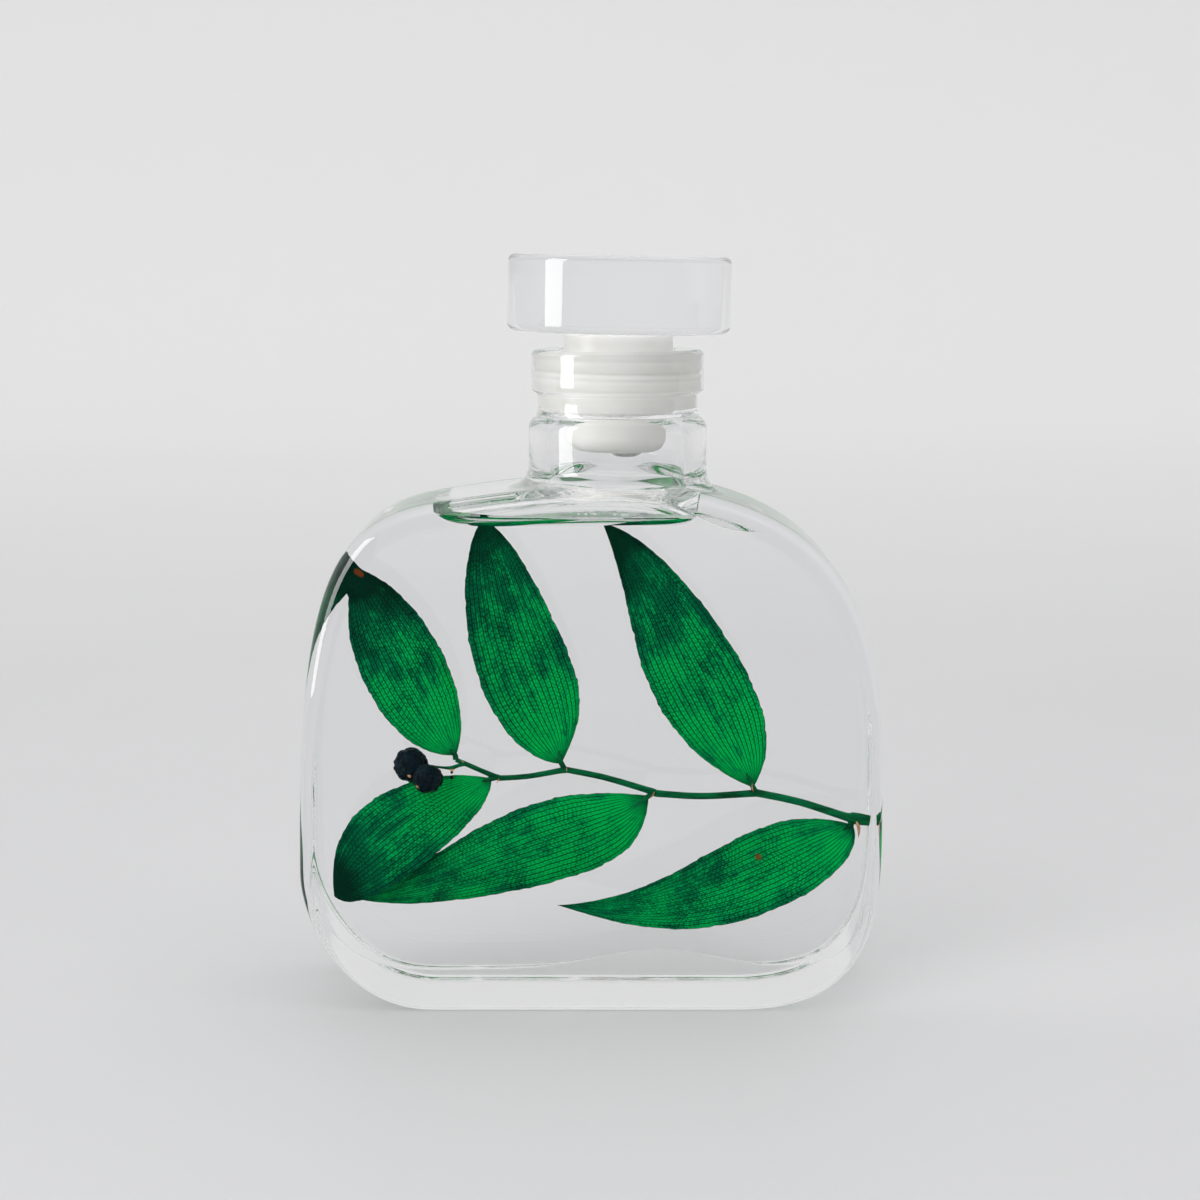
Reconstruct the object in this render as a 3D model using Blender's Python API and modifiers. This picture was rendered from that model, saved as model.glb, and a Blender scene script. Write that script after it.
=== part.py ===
"""Ruscus sprig kept in clear oil inside a flat glass bottle with a disc-headed stopper.

Metres, +Z up. The broad faces look along -Y and +Y, the base stands on Z = 0, and the origin is
under the middle of the body. The neck stands a little to the right of the body's middle.
"""
import math

import bmesh
import bpy
from mathutils import Matrix, Vector

MM = 0.001

# Glass body: a flat flask, wider than it is deep
BODY_HALF_DEPTH = 17.0 * MM
OUTER_EDGE_RADIUS = 4.0 * MM
INNER_EDGE_RADIUS = 3.0 * MM
SIDE_WALL = 2.1 * MM
FACE_WALL = 2.4 * MM
TOP_WALL = 2.3 * MM
BASE_WALL = 4.3 * MM
FLOOR_RISE = 2.6 * MM
FLOOR_RISE_X = 11.0 * MM
FLOOR_RISE_SPREAD = 14.0 * MM

# Body outline, clockwise from the left end of the flat base:
# x, z, heading in degrees, reach of the curve before and after the point
BODY_OUTLINE = (
    (-25.3, 0.0, 180.0, 16.0, 14.5),
    (-46.5, 22.0, 90.0, 7.0, 46.0),
    (-24.0, 81.6, 8.5, 18.0, 14.0),
    (20.0, 82.3, -15.0, 14.0, 28.0),
    (46.5, 31.0, -90.0, 22.5, 15.0),
    (23.6, 0.0, 180.0, 22.5, 16.0),
)
OUTLINE_STEPS = 12
EDGE_SEGMENTS = 3

# Neck, turned about its own upright axis
NECK_X = 4.35 * MM
NECK_RADIUS = 14.4 * MM
GROOVE_RADIUS = 12.9 * MM
FINISH_RADIUS = 13.95 * MM
NECK_FOOT_RADIUS = 16.7 * MM
NECK_FOOT = 74.0 * MM
NECK_FLARE_TOP = 86.4 * MM
NECK_FLARE_HEIGHT = 5.4 * MM
NECK_SHOULDER = 92.3 * MM
GROOVE_BOTTOM = 95.2 * MM
FINISH_BOTTOM = 98.4 * MM
NECK_TOP = 105.2 * MM
BORE_RADIUS = 9.25 * MM
LOWER_BORE_RADIUS = 10.9 * MM
LOWER_BORE_TOP = 94.0 * MM
BORE_FOOT = 76.5 * MM
TURNED_STEPS = 40

# Oil, which fills the body up to just under the neck
FIT_GAP = 0.3 * MM
OIL_LEVEL = 79.2 * MM
SLOT_HALF_DEPTH = 4.6 * MM
SLOT_FLOOR = 10.2 * MM
BERRY_POCKET = (-33.5 * MM, -21.5 * MM, 32.0 * MM, 43.0 * MM)
BERRY_POCKET_DEPTH = 7.2 * MM

# Stopper: a white plug under a clear disc, seated a little out of square
STOPPER_TILT = math.radians(1.1)
COLLAR_RADIUS = 8.85 * MM
RIB_RADIUS = 8.95 * MM
TIP_RADIUS = 8.0 * MM
PLUG_TOP = 107.7 * MM
PLUG_STEP = 94.6 * MM
PLUG_TIP = 88.7 * MM
PLUG_GROOVES = (103.4 * MM, 101.2 * MM, 98.6 * MM)
PLUG_GROOVE_DEPTH = 0.35 * MM
TIP_ROUNDING = 2.6 * MM
HEAD_RADIUS = 18.0 * MM
HEAD_BOTTOM = 108.0 * MM
HEAD_TOP = 120.3 * MM
HEAD_ROUNDING = 1.9 * MM
HEAD_STEPS = 56

# Stem: centre line from the cut end at the right to the tip of the sprig, with its radii
STEM = (
    (43.7, 0.0, 29.1, 0.95),
    (41.9, 0.0, 29.4, 0.95),
    (40.9, 0.0, 29.7, 0.65),
    (26.9, 0.0, 33.4, 0.60),
    (10.3, 0.0, 33.5, 0.55),
    (-4.2, 0.0, 37.2, 0.50),
    (-15.2, 0.0, 36.0, 0.45),
    (-21.9, 0.0, 38.9, 0.40),
)
FRUIT_STALK = (
    (-21.5, 0.0, 38.7, 0.40),
    (-23.8, -0.7, 37.7, 0.35),
    (-25.5, -1.4, 37.8, 0.35),
)
PETIOLE_RADIUS = 0.5
TUBE_SIDES = 8

# Leaves in millimetres: where each joins the stem, then its base, its two edges as inner points
# of one smooth curve each, and its tip. "lean" is how far the tip lies back, "cup" how far the
# edges bend back, "roll" how far one edge lies behind the other.
LEAVES = {
    "upper_left": dict(
        joint=(-21.9, 38.9), base=(-21.9, 39.6), tip=(-37.6, 70.0),
        edge_a=((-32.1, 39.3), (-35.8, 49.3), (-42.6, 58.3)),
        edge_b=((-19.1, 46.4), (-22.6, 58.0), (-30.3, 67.7)),
        lean=1.6, cup=0.9, roll=0.8),
    "upper_middle": dict(
        joint=(-4.2, 37.2), base=(-4.8, 38.2), tip=(-17.3, 78.2),
        edge_a=((-14.4, 39.1), (-22.1, 52.4), (-22.0, 72.6)),
        edge_b=((2.8, 52.9), (-4.7, 52.9), (-9.0, 74.4)),
        lean=-1.8, cup=-0.9, roll=1.2),
    "upper_right": dict(
        joint=(26.9, 33.4), base=(26.4, 34.3), tip=(2.0, 77.4),
        edge_a=((12.5, 39.5), (5.5, 52.7), (7.8, 62.5)),
        edge_b=((32.8, 45.4), (25.3, 54.1), (14.1, 74.2)),
        lean=1.8, cup=1.0, roll=-1.2),
    "lower_left": dict(
        joint=(-15.2, 36.0), base=(-16.1, 35.8), tip=(-41.8, 16.5),
        edge_a=((-26.4, 38.0), (-36.9, 33.5), (-43.3, 29.0)),
        edge_b=((-16.3, 30.1), (-21.4, 26.8), (-36.6, 11.3)),
        lean=-1.2, cup=0.6, roll=-0.5),
    "lower_middle": dict(
        joint=(10.3, 33.5), base=(9.4, 33.0), tip=(-38.4, 15.5),
        edge_a=((-4.8, 34.5), (-14.3, 32.4), (-23.4, 23.1)),
        edge_b=((8.7, 17.3), (-5.0, 20.8), (-21.4, 12.0)),
        lean=2.4, cup=0.8, roll=0.8),
    "lower_right": dict(
        joint=(41.9, 29.4), base=(42.6, 28.2), tip=(-5.4, 15.1),
        edge_a=((29.3, 32.0), (21.2, 25.8), (12.8, 16.0)),
        edge_b=((46.9, 19.6), (21.0, 6.6), (10.7, 10.1)),
        lean=-1.8, cup=-0.8, roll=-0.9),
}
BLADE_THICKNESS = 0.6
BLADE_ROWS = 18
BLADE_COLUMNS = 6
BLADE_END_WIDTH = 0.9

# Berries: centre and radius
BERRIES = (
    (-29.2, -1.5, 38.3, 2.75),
    (-26.2, -4.0, 36.2, 2.35),
)


def clear_scene():
    for item in list(bpy.data.objects):
        bpy.data.objects.remove(item, do_unlink=True)


def new_collection(name):
    group = bpy.data.collections.new(name)
    bpy.context.scene.collection.children.link(group)
    return group


def material(name, colour, roughness, transmission=0.0, ior=1.5):
    made = bpy.data.materials.new(name)
    made.use_nodes = True
    shader = made.node_tree.nodes["Principled BSDF"]
    shader.inputs["Base Color"].default_value = (*colour, 1.0)
    shader.inputs["Roughness"].default_value = roughness
    shader.inputs["Metallic"].default_value = 0.0
    shader.inputs["Transmission Weight"].default_value = transmission
    shader.inputs["IOR"].default_value = ior
    made.diffuse_color = (*colour, 1.0)
    return made


def place(name, mesh, group, matrix=None):
    item = bpy.data.objects.new(name, mesh)
    group.objects.link(item)
    if matrix is not None:
        item.matrix_world = matrix
    return item


def settle(item):
    """Replaces an object's curve or modifiers with the plain mesh that they give, in world space."""
    bpy.context.view_layer.update()
    evaluated = item.evaluated_get(bpy.context.evaluated_depsgraph_get())
    mesh = bpy.data.meshes.new_from_object(evaluated)
    mesh.transform(item.matrix_world)
    group = item.users_collection[0]
    name = item.name
    bpy.data.objects.remove(item, do_unlink=True)
    return place(name, mesh, group)


def weld(item):
    shape = bmesh.new()
    shape.from_mesh(item.data)
    bmesh.ops.remove_doubles(shape, verts=shape.verts, dist=0.00001)
    bmesh.ops.recalc_face_normals(shape, faces=shape.faces)
    shape.to_mesh(item.data)
    shape.free()


def merge_flat_faces(item):
    """Turns each flat cap's triangles into one face, so that its rim takes an even bevel."""
    shape = bmesh.new()
    shape.from_mesh(item.data)
    bmesh.ops.dissolve_limit(shape, angle_limit=math.radians(0.5), edges=shape.edges)
    shape.to_mesh(item.data)
    shape.free()


def boolean(item, operation, tool, solver="EXACT"):
    cut = item.modifiers.new(operation.lower() + "_" + tool.name, "BOOLEAN")
    cut.operation = operation
    cut.object = tool
    cut.solver = solver
    return cut


def hide_cutter(item):
    item.hide_render = True
    item.display_type = "WIRE"


def shade(item, angle=35.0):
    item.data.shade_smooth()
    item.data.set_sharp_from_angle(angle=math.radians(angle))


def outline_points():
    """Points along the body's outline, in metres, with the flat base left straight."""
    points = []
    for index, (x, z, heading, _, reach) in enumerate(BODY_OUTLINE):
        x2, z2, heading2, reach2, _ = BODY_OUTLINE[(index + 1) % len(BODY_OUTLINE)]
        start = Vector((x, z))
        end = Vector((x2, z2))
        turn = math.radians(heading)
        turn2 = math.radians(heading2)
        near = start + reach * Vector((math.cos(turn), math.sin(turn)))
        far = end - reach2 * Vector((math.cos(turn2), math.sin(turn2)))
        for step in range(OUTLINE_STEPS):
            t = step / OUTLINE_STEPS
            points.append(MM * (
                (1 - t) ** 3 * start + 3 * (1 - t) ** 2 * t * near
                + 3 * (1 - t) * t ** 2 * far + t ** 3 * end))
    return points


def corner_points():
    """The outline without the points inside its straight base, for a solid with a flat base."""
    left_end = BODY_OUTLINE[0][0] * MM
    right_end = BODY_OUTLINE[-1][0] * MM
    tiny = 0.01 * MM
    return [point for point in outline_points()
            if point.y > tiny or not left_end + tiny < point.x < right_end - tiny]


def wall_at(point, outward):
    """Glass thickness of the rim at a point of the outline, thickest and domed at the base."""
    down = max(0.0, -outward.y) ** 2
    up = max(0.0, outward.y) ** 2
    dome = math.exp(-((point.x - FLOOR_RISE_X) / FLOOR_RISE_SPREAD) ** 2)
    base = BASE_WALL + FLOOR_RISE * dome
    return SIDE_WALL + down * (base - SIDE_WALL) + up * (TOP_WALL - SIDE_WALL)


def inner_points(gap=0.0):
    """The outline moved in by the wall, and by a further gap."""
    outer = outline_points()
    count = len(outer)
    points = []
    for index, point in enumerate(outer):
        along = (outer[(index + 1) % count] - outer[index - 1]).normalized()
        outward = Vector((-along.y, along.x))
        points.append(point - outward * (wall_at(point, outward) + gap))
    return points


def slab(name, points, half_depth, edge_radius, group):
    """A flat outline given its depth, with rounded rims."""
    curve = bpy.data.curves.new(name, "CURVE")
    curve.dimensions = "2D"
    curve.fill_mode = "BOTH"
    curve.extrude = half_depth
    spline = curve.splines.new("POLY")
    spline.points.add(len(points) - 1)
    for target, point in zip(spline.points, points):
        target.co = (point.x, point.y, 0.0, 1.0)
    spline.use_cyclic_u = True
    item = place(name, curve, group, Matrix.Rotation(math.radians(90.0), 4, "X"))
    item = settle(item)
    weld(item)
    merge_flat_faces(item)
    bevel = item.modifiers.new("rounded_rims", "BEVEL")
    bevel.width = edge_radius
    bevel.segments = EDGE_SEGMENTS
    bevel.limit_method = "ANGLE"
    bevel.angle_limit = math.radians(60.0)
    return settle(item)


def arc(centre_r, centre_z, radius, start, end, steps):
    """Points (r, z) on an arc of a turned profile; angles in degrees from the outward direction."""
    points = []
    for step in range(steps + 1):
        angle = math.radians(start + (end - start) * step / steps)
        points.append((centre_r + radius * math.cos(angle), centre_z + radius * math.sin(angle)))
    return points


def turned(name, profile, steps, group):
    """A profile of (r, z), listed from the top down its outer side, turned about Z."""
    mesh = bpy.data.meshes.new(name)
    edges = [(index, index + 1) for index in range(len(profile) - 1)]
    mesh.from_pydata([(r, 0.0, z) for r, z in profile], edges, [])
    item = place(name, mesh, group)
    screw = item.modifiers.new("turn", "SCREW")
    screw.axis = "Z"
    screw.angle = math.radians(360.0)
    screw.steps = steps
    screw.render_steps = steps
    screw.use_merge_vertices = True
    screw.merge_threshold = 0.00001
    return item


def neck_profile():
    flare = NECK_FOOT_RADIUS - NECK_RADIUS
    corner = 0.8 * MM
    shoulder = NECK_RADIUS - GROOVE_RADIUS
    profile = [(0.0, NECK_TOP)]
    profile += arc(FINISH_RADIUS - corner, NECK_TOP - corner, corner, 90.0, 0.0, 3)
    profile += arc(FINISH_RADIUS - corner, FINISH_BOTTOM + corner, corner, 0.0, -70.0, 2)
    profile += [(GROOVE_RADIUS, FINISH_BOTTOM - 0.4 * MM), (GROOVE_RADIUS, GROOVE_BOTTOM)]
    profile += arc(GROOVE_RADIUS, NECK_SHOULDER, shoulder, 75.0, 0.0, 3)
    for step in range(5):
        angle = math.radians(90.0 * step / 4)
        drop = NECK_FLARE_HEIGHT * math.sin(angle)
        profile += [(NECK_FOOT_RADIUS - flare * math.cos(angle), NECK_FLARE_TOP - drop)]
    profile += [(NECK_FOOT_RADIUS, NECK_FOOT), (0.0, NECK_FOOT)]
    return profile


def bore_profile():
    over = 4.0 * MM
    lip = 0.5 * MM
    return [
        (0.0, NECK_TOP + over),
        (BORE_RADIUS + lip, NECK_TOP + over),
        (BORE_RADIUS + lip, NECK_TOP),
        (BORE_RADIUS, NECK_TOP - lip),
        (BORE_RADIUS, LOWER_BORE_TOP + 1.4 * MM),
        (LOWER_BORE_RADIUS - 0.4 * MM, LOWER_BORE_TOP),
        (LOWER_BORE_RADIUS, LOWER_BORE_TOP - 1.2 * MM),
        (LOWER_BORE_RADIUS, 84.0 * MM),
        (LOWER_BORE_RADIUS + 0.8 * MM, 81.4 * MM),
        (LOWER_BORE_RADIUS + 2.6 * MM, BORE_FOOT + 1.8 * MM),
        (LOWER_BORE_RADIUS + 2.6 * MM, BORE_FOOT),
        (0.0, BORE_FOOT),
    ]


def build_bottle(parts, cutters):
    bottle = slab("bottle", corner_points(), BODY_HALF_DEPTH, OUTER_EDGE_RADIUS, parts)
    neck = turned("neck_solid", neck_profile(), TURNED_STEPS, cutters)
    neck.location.x = NECK_X
    cavity = slab("cavity", inner_points(), BODY_HALF_DEPTH - FACE_WALL, INNER_EDGE_RADIUS, cutters)
    bore = turned("bore", bore_profile(), TURNED_STEPS, cutters)
    bore.location.x = NECK_X
    boolean(bottle, "UNION", neck)
    boolean(bottle, "DIFFERENCE", cavity)
    boolean(bottle, "DIFFERENCE", bore)
    for tool in (neck, cavity, bore):
        hide_cutter(tool)
    bottle.data.materials.append(material("clear_glass", (0.93, 0.97, 0.95), 0.03, 1.0, 1.52))
    shade(bottle)
    return bottle


def box(name, low, high, group):
    mesh = bpy.data.meshes.new(name)
    shape = bmesh.new()
    bmesh.ops.create_cube(shape, size=1.0)
    shape.to_mesh(mesh)
    shape.free()
    low = Vector(low)
    high = Vector(high)
    mesh.transform(Matrix.Diagonal((*(high - low), 1.0)))
    return place(name, mesh, group, Matrix.Translation((low + high) / 2))


def build_oil(parts, cutters):
    """The oil, with an open slot for the sprig and a pocket in the slot's front for the berries."""
    half_depth = BODY_HALF_DEPTH - FACE_WALL - FIT_GAP
    oil = slab("oil", inner_points(FIT_GAP), half_depth, INNER_EDGE_RADIUS, parts)
    wide = 60.0 * MM
    high = 100.0 * MM
    above = box("above_level", (-wide, -wide, OIL_LEVEL), (wide, wide, high), cutters)
    slot = box("sprig_slot", (-wide, -SLOT_HALF_DEPTH, SLOT_FLOOR), (wide, SLOT_HALF_DEPTH, high), cutters)
    left, right, bottom, top = BERRY_POCKET
    pocket = box("berry_pocket", (left, -BERRY_POCKET_DEPTH, bottom), (right, 0.0, top), cutters)
    for tool in (above, slot, pocket):
        boolean(oil, "DIFFERENCE", tool)
        hide_cutter(tool)
    oil.data.materials.append(material("clear_oil", (0.97, 0.98, 0.95), 0.0, 1.0, 1.46))
    shade(oil)
    return oil


def tube(name, line, group):
    """A round rod along points of (x, y, z, radius), in millimetres, with closed ends."""
    curve = bpy.data.curves.new(name, "CURVE")
    curve.dimensions = "3D"
    curve.bevel_depth = 1.0 * MM
    curve.bevel_resolution = TUBE_SIDES // 2 - 2
    curve.use_fill_caps = True
    spline = curve.splines.new("POLY")
    spline.points.add(len(line) - 1)
    for target, (x, y, z, radius) in zip(spline.points, line):
        target.co = (x * MM, y * MM, z * MM, 1.0)
        target.radius = radius
    item = settle(place(name, curve, group))
    weld(item)
    return item


def edge_point(base, inner, tip, t):
    """A point on the smooth curve of five control points that gives one edge of a leaf."""
    point = Vector((0.0, 0.0))
    for order, control in enumerate((base, *inner, tip)):
        share = math.comb(4, order) * (1 - t) ** (4 - order) * t ** order
        point += share * Vector(control)
    return point


def leaf_point(leaf, along, across):
    """A point of the leaf's middle surface; along runs base to tip, across from -1 to 1."""
    edge_a = edge_point(leaf["base"], leaf["edge_a"], leaf["tip"], along)
    edge_b = edge_point(leaf["base"], leaf["edge_b"], leaf["tip"], along)
    middle = (edge_a + edge_b) / 2
    half = (edge_b - edge_a) / 2
    if half.length < BLADE_END_WIDTH / 2:
        heading = Vector(leaf["tip"]) - Vector(leaf["base"])
        side = Vector((-heading.y, heading.x)).normalized()
        if side.dot(Vector(leaf["edge_b"][1]) - Vector(leaf["edge_a"][1])) < 0:
            side = -side
        half = side * BLADE_END_WIDTH / 2
    flat = middle + half * across
    swell = math.sin(math.pi * along)
    depth = leaf["lean"] * along ** 1.5 + swell * (leaf["cup"] * across ** 2 + leaf["roll"] * across)
    return Vector((flat.x, depth, flat.y)) * MM


def blade(name, leaf, group):
    """One leaf: a grid laid over the leaf's surface, then thickened evenly to both sides."""
    mesh = bpy.data.meshes.new(name)
    shape = bmesh.new()
    bmesh.ops.create_grid(shape, x_segments=BLADE_ROWS, y_segments=BLADE_COLUMNS, size=1.0)
    for vertex in shape.verts:
        along = (vertex.co.x + 1) / 2
        vertex.co = leaf_point(leaf, along, vertex.co.y)
    bmesh.ops.triangulate(shape, faces=shape.faces)
    shape.to_mesh(mesh)
    shape.free()
    item = place(name, mesh, group)
    thickness = item.modifiers.new("thickness", "SOLIDIFY")
    thickness.thickness = BLADE_THICKNESS * MM
    thickness.offset = 0.0
    item = settle(item)
    weld(item)
    return item


def petiole(name, leaf, group):
    """The short stalk from the stem into the leaf's base."""
    x, z = leaf["joint"]
    into = leaf_point(leaf, 0.06, 0.0) / MM
    line = ((x, 0.0, z, PETIOLE_RADIUS), (into.x, into.y, into.z, PETIOLE_RADIUS))
    return tube(name, line, group)


def build_spray(parts, cutters):
    pieces = new_collection("spray_pieces")
    spray = tube("ruscus_spray", STEM, parts)
    tube("fruit_stalk", FRUIT_STALK, pieces)
    for name, leaf in LEAVES.items():
        blade(name + "_leaf", leaf, pieces)
        petiole(name + "_petiole", leaf, pieces)
    join = spray.modifiers.new("grown_together", "BOOLEAN")
    join.operation = "UNION"
    join.operand_type = "COLLECTION"
    join.collection = pieces
    join.solver = "EXACT"
    spray = settle(spray)
    for item in list(pieces.objects):
        bpy.data.objects.remove(item, do_unlink=True)
    bpy.data.collections.remove(pieces)
    spray.data.materials.clear()
    spray.data.materials.append(material("leaf_green", (0.01, 0.20, 0.05), 0.5))
    shade(spray)
    return spray


def berry(name, centre, radius, group):
    mesh = bpy.data.meshes.new(name)
    shape = bmesh.new()
    bmesh.ops.create_uvsphere(shape, u_segments=20, v_segments=12, radius=radius * MM)
    shape.to_mesh(mesh)
    shape.free()
    return place(name, mesh, group, Matrix.Translation(Vector(centre) * MM))


def build_berries(parts, cutters):
    first, second = [(Vector(row[:3]), row[3]) for row in BERRIES]
    berries = berry("ruscus_berries", *first, parts)
    other = berry("second_berry", *second, cutters)
    boolean(berries, "UNION", other)
    hide_cutter(other)
    berries.data.materials.append(material("berry_black", (0.008, 0.014, 0.022), 0.6))
    shade(berries)
    return berries


def plug_profile():
    profile = [(0.0, PLUG_TOP), (COLLAR_RADIUS, PLUG_TOP), (COLLAR_RADIUS, NECK_TOP)]
    for height in PLUG_GROOVES:
        profile += [
            (RIB_RADIUS, height + 0.9 * MM),
            (RIB_RADIUS - PLUG_GROOVE_DEPTH, height + 0.3 * MM),
            (RIB_RADIUS - PLUG_GROOVE_DEPTH, height - 0.3 * MM),
            (RIB_RADIUS, height - 0.9 * MM),
        ]
    profile += [(RIB_RADIUS, PLUG_STEP + 0.5 * MM), (TIP_RADIUS, PLUG_STEP)]
    profile += arc(TIP_RADIUS - TIP_ROUNDING, PLUG_TIP + TIP_ROUNDING, TIP_ROUNDING, 0.0, -90.0, 4)
    profile += [(0.0, PLUG_TIP)]
    return profile


def head_profile():
    inner = HEAD_RADIUS - HEAD_ROUNDING
    profile = [(0.0, HEAD_TOP)]
    profile += arc(inner, HEAD_TOP - HEAD_ROUNDING, HEAD_ROUNDING, 90.0, 0.0, 4)
    profile += arc(inner, HEAD_BOTTOM + HEAD_ROUNDING, HEAD_ROUNDING, 0.0, -90.0, 4)
    profile += [(0.0, HEAD_BOTTOM)]
    return profile


def build_stopper(parts):
    """Plug and head, turned upright and then tipped together about the middle of the seat."""
    seat = Vector((NECK_X, 0.0, (NECK_TOP + PLUG_STEP) / 2))
    tip = Matrix.Translation(seat) @ Matrix.Rotation(STOPPER_TILT, 4, "Y")
    drop = Matrix.Translation((0.0, 0.0, -seat.z))
    plug = turned("stopper_plug", plug_profile(), TURNED_STEPS, parts)
    plug.data.materials.append(material("white_polyethylene", (0.66, 0.65, 0.60), 0.35))
    head = turned("stopper_head", head_profile(), HEAD_STEPS, parts)
    head.data.materials.append(material("clear_disc", (0.95, 0.96, 0.97), 0.02, 1.0, 1.5))
    for item in (plug, head):
        item.matrix_world = tip @ drop
        shade(item)


def main():
    clear_scene()
    parts = new_collection("ruscus_in_glass_capsule")
    cutters = new_collection("cutters")
    build_bottle(parts, cutters)
    build_oil(parts, cutters)
    build_spray(parts, cutters)
    build_berries(parts, cutters)
    build_stopper(parts)


main()
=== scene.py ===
"""A preserved ruscus sprig in clear oil, inside a flat glass bottle with a disc-headed stopper.

Lengths in the shape tables are millimetres and are scaled to metres when a mesh is made.
The bottle is one closed skin of rings about the neck's axis, so rays pass from air to glass to
oil through single clean walls. The oil fills the cavity a hair inside the glass.
"""
import math

import bmesh
import bpy
import numpy as np
from bpy.props import FloatProperty, FloatVectorProperty, IntProperty, PointerProperty
from mathutils import Matrix, Vector


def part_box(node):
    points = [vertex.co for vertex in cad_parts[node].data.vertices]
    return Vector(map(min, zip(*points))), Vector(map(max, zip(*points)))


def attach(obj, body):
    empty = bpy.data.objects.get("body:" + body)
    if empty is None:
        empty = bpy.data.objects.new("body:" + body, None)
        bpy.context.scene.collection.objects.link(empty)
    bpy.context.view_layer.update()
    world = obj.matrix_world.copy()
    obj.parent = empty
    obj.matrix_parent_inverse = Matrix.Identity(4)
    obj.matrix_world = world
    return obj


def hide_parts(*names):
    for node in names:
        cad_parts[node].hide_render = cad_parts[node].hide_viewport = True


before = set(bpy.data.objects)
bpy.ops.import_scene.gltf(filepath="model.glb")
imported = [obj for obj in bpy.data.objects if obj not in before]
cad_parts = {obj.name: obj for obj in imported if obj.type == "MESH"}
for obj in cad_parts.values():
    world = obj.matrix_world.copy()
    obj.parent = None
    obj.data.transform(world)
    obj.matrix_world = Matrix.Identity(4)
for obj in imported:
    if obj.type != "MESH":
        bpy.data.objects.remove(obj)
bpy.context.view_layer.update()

bl_info = {
    "name": "Ruscus sprig in an oil-filled bottle",
    "version": (1, 0, 0),
    "blender": (4, 5, 0),
    "location": "3D View > Sidebar > Ruscus Bottle",
    "description": "Builds a glass bottle with its oil, ruscus sprig, berries and stopper",
    "category": "Add Mesh",
}

MM = 0.001
BODY = "root"

# Body outline, clockwise from the left end of the flat base:
# x, z, heading in degrees, reach of the curve before and after the point
BODY_OUTLINE = (
    (-25.3, 0.0, 180.0, 16.0, 14.5),
    (-46.5, 22.0, 90.0, 7.0, 46.0),
    (-24.0, 81.6, 8.5, 18.0, 14.0),
    (20.0, 82.3, -15.0, 14.0, 28.0),
    (46.5, 31.0, -90.0, 22.5, 15.0),
    (23.6, 0.0, 180.0, 22.5, 16.0),
)
OUTLINE_STEPS = 60
NECK_X = 4.35

# The point inside the body that its skin is drawn out from, the points in each ring, and the
# polar angles in degrees at which the body's outside and the cavity end at the neck
HEART = np.array((NECK_X, 0.0, 38.0))
AROUND = 232
OUTSIDE_END = 163.2
CAVITY_END = 166.6

# Rows of points of the body's outside, and of the cavity below and above the oil's contact line
OUTSIDE_ROWS = 128
WET_ROWS = 104
DRY_ROWS = 20

# A ray finds the skin in this many strides, each this share of the distance that is left
STRIDES = 150
STRIDE = 0.92

# The oil stays this far inside the glass
OIL_GAP = 0.05

# The leaves' texture runs along their length in units of this many millimetres
LEAF_UNIT = 50.0

# Heights of the plug's underside, of the seat's lower end and of the step in the bore
PLUG_BOTTOM = 88.7
SEAT_FOOT = 94.6
SEAT_STEP = 95.2

# The plug's grooves, as height and depth, and one groove's shape, as height and share of depth
PLUG_GROOVES = ((98.6, 0.08), (100.3, 0.07), (101.4, 0.24), (103.4, 0.05))
GROOVE_SHAPE = ((-0.42, 0.0), (-0.28, 0.4), (-0.12, 1.0), (0.12, 1.0), (0.28, 0.4), (0.42, 0.0))

# Stem and stalks: x, y, z, radius
STEM = (
    (45.4, 0.0, 28.85, 0.86), (44.1, 0.0, 29.05, 0.96), (42.6, 0.0, 29.3, 0.94),
    (41.2, 0.0, 29.6, 0.68),
    (34.0, 0.1, 31.9, 0.60), (27.6, 0.0, 33.3, 0.62), (26.9, 0.0, 33.4, 0.64),
    (25.6, 0.0, 33.3, 0.58), (18.0, 0.0, 32.9, 0.54), (11.2, 0.0, 33.3, 0.56),
    (10.3, 0.0, 33.5, 0.60), (9.2, 0.0, 33.9, 0.54), (2.5, 0.0, 35.9, 0.50),
    (-3.2, 0.0, 37.1, 0.50), (-4.2, 0.0, 37.2, 0.55), (-5.4, 0.0, 37.0, 0.48),
    (-10.0, 0.0, 36.2, 0.44), (-14.2, 0.0, 35.9, 0.46), (-15.2, 0.0, 36.0, 0.50),
    (-16.4, 0.0, 36.5, 0.42), (-21.9, 0.0, 38.9, 0.38),
)
FRUIT_STALK = (
    (-20.3, 0.0, 38.2, 0.34), (-21.4, -0.2, 38.0, 0.30), (-22.6, -0.4, 37.6, 0.32),
    (-24.0, -0.7, 37.7, 0.22), (-25.3, -1.2, 37.9, 0.20), (-26.6, -1.6, 38.1, 0.24),
)

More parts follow.
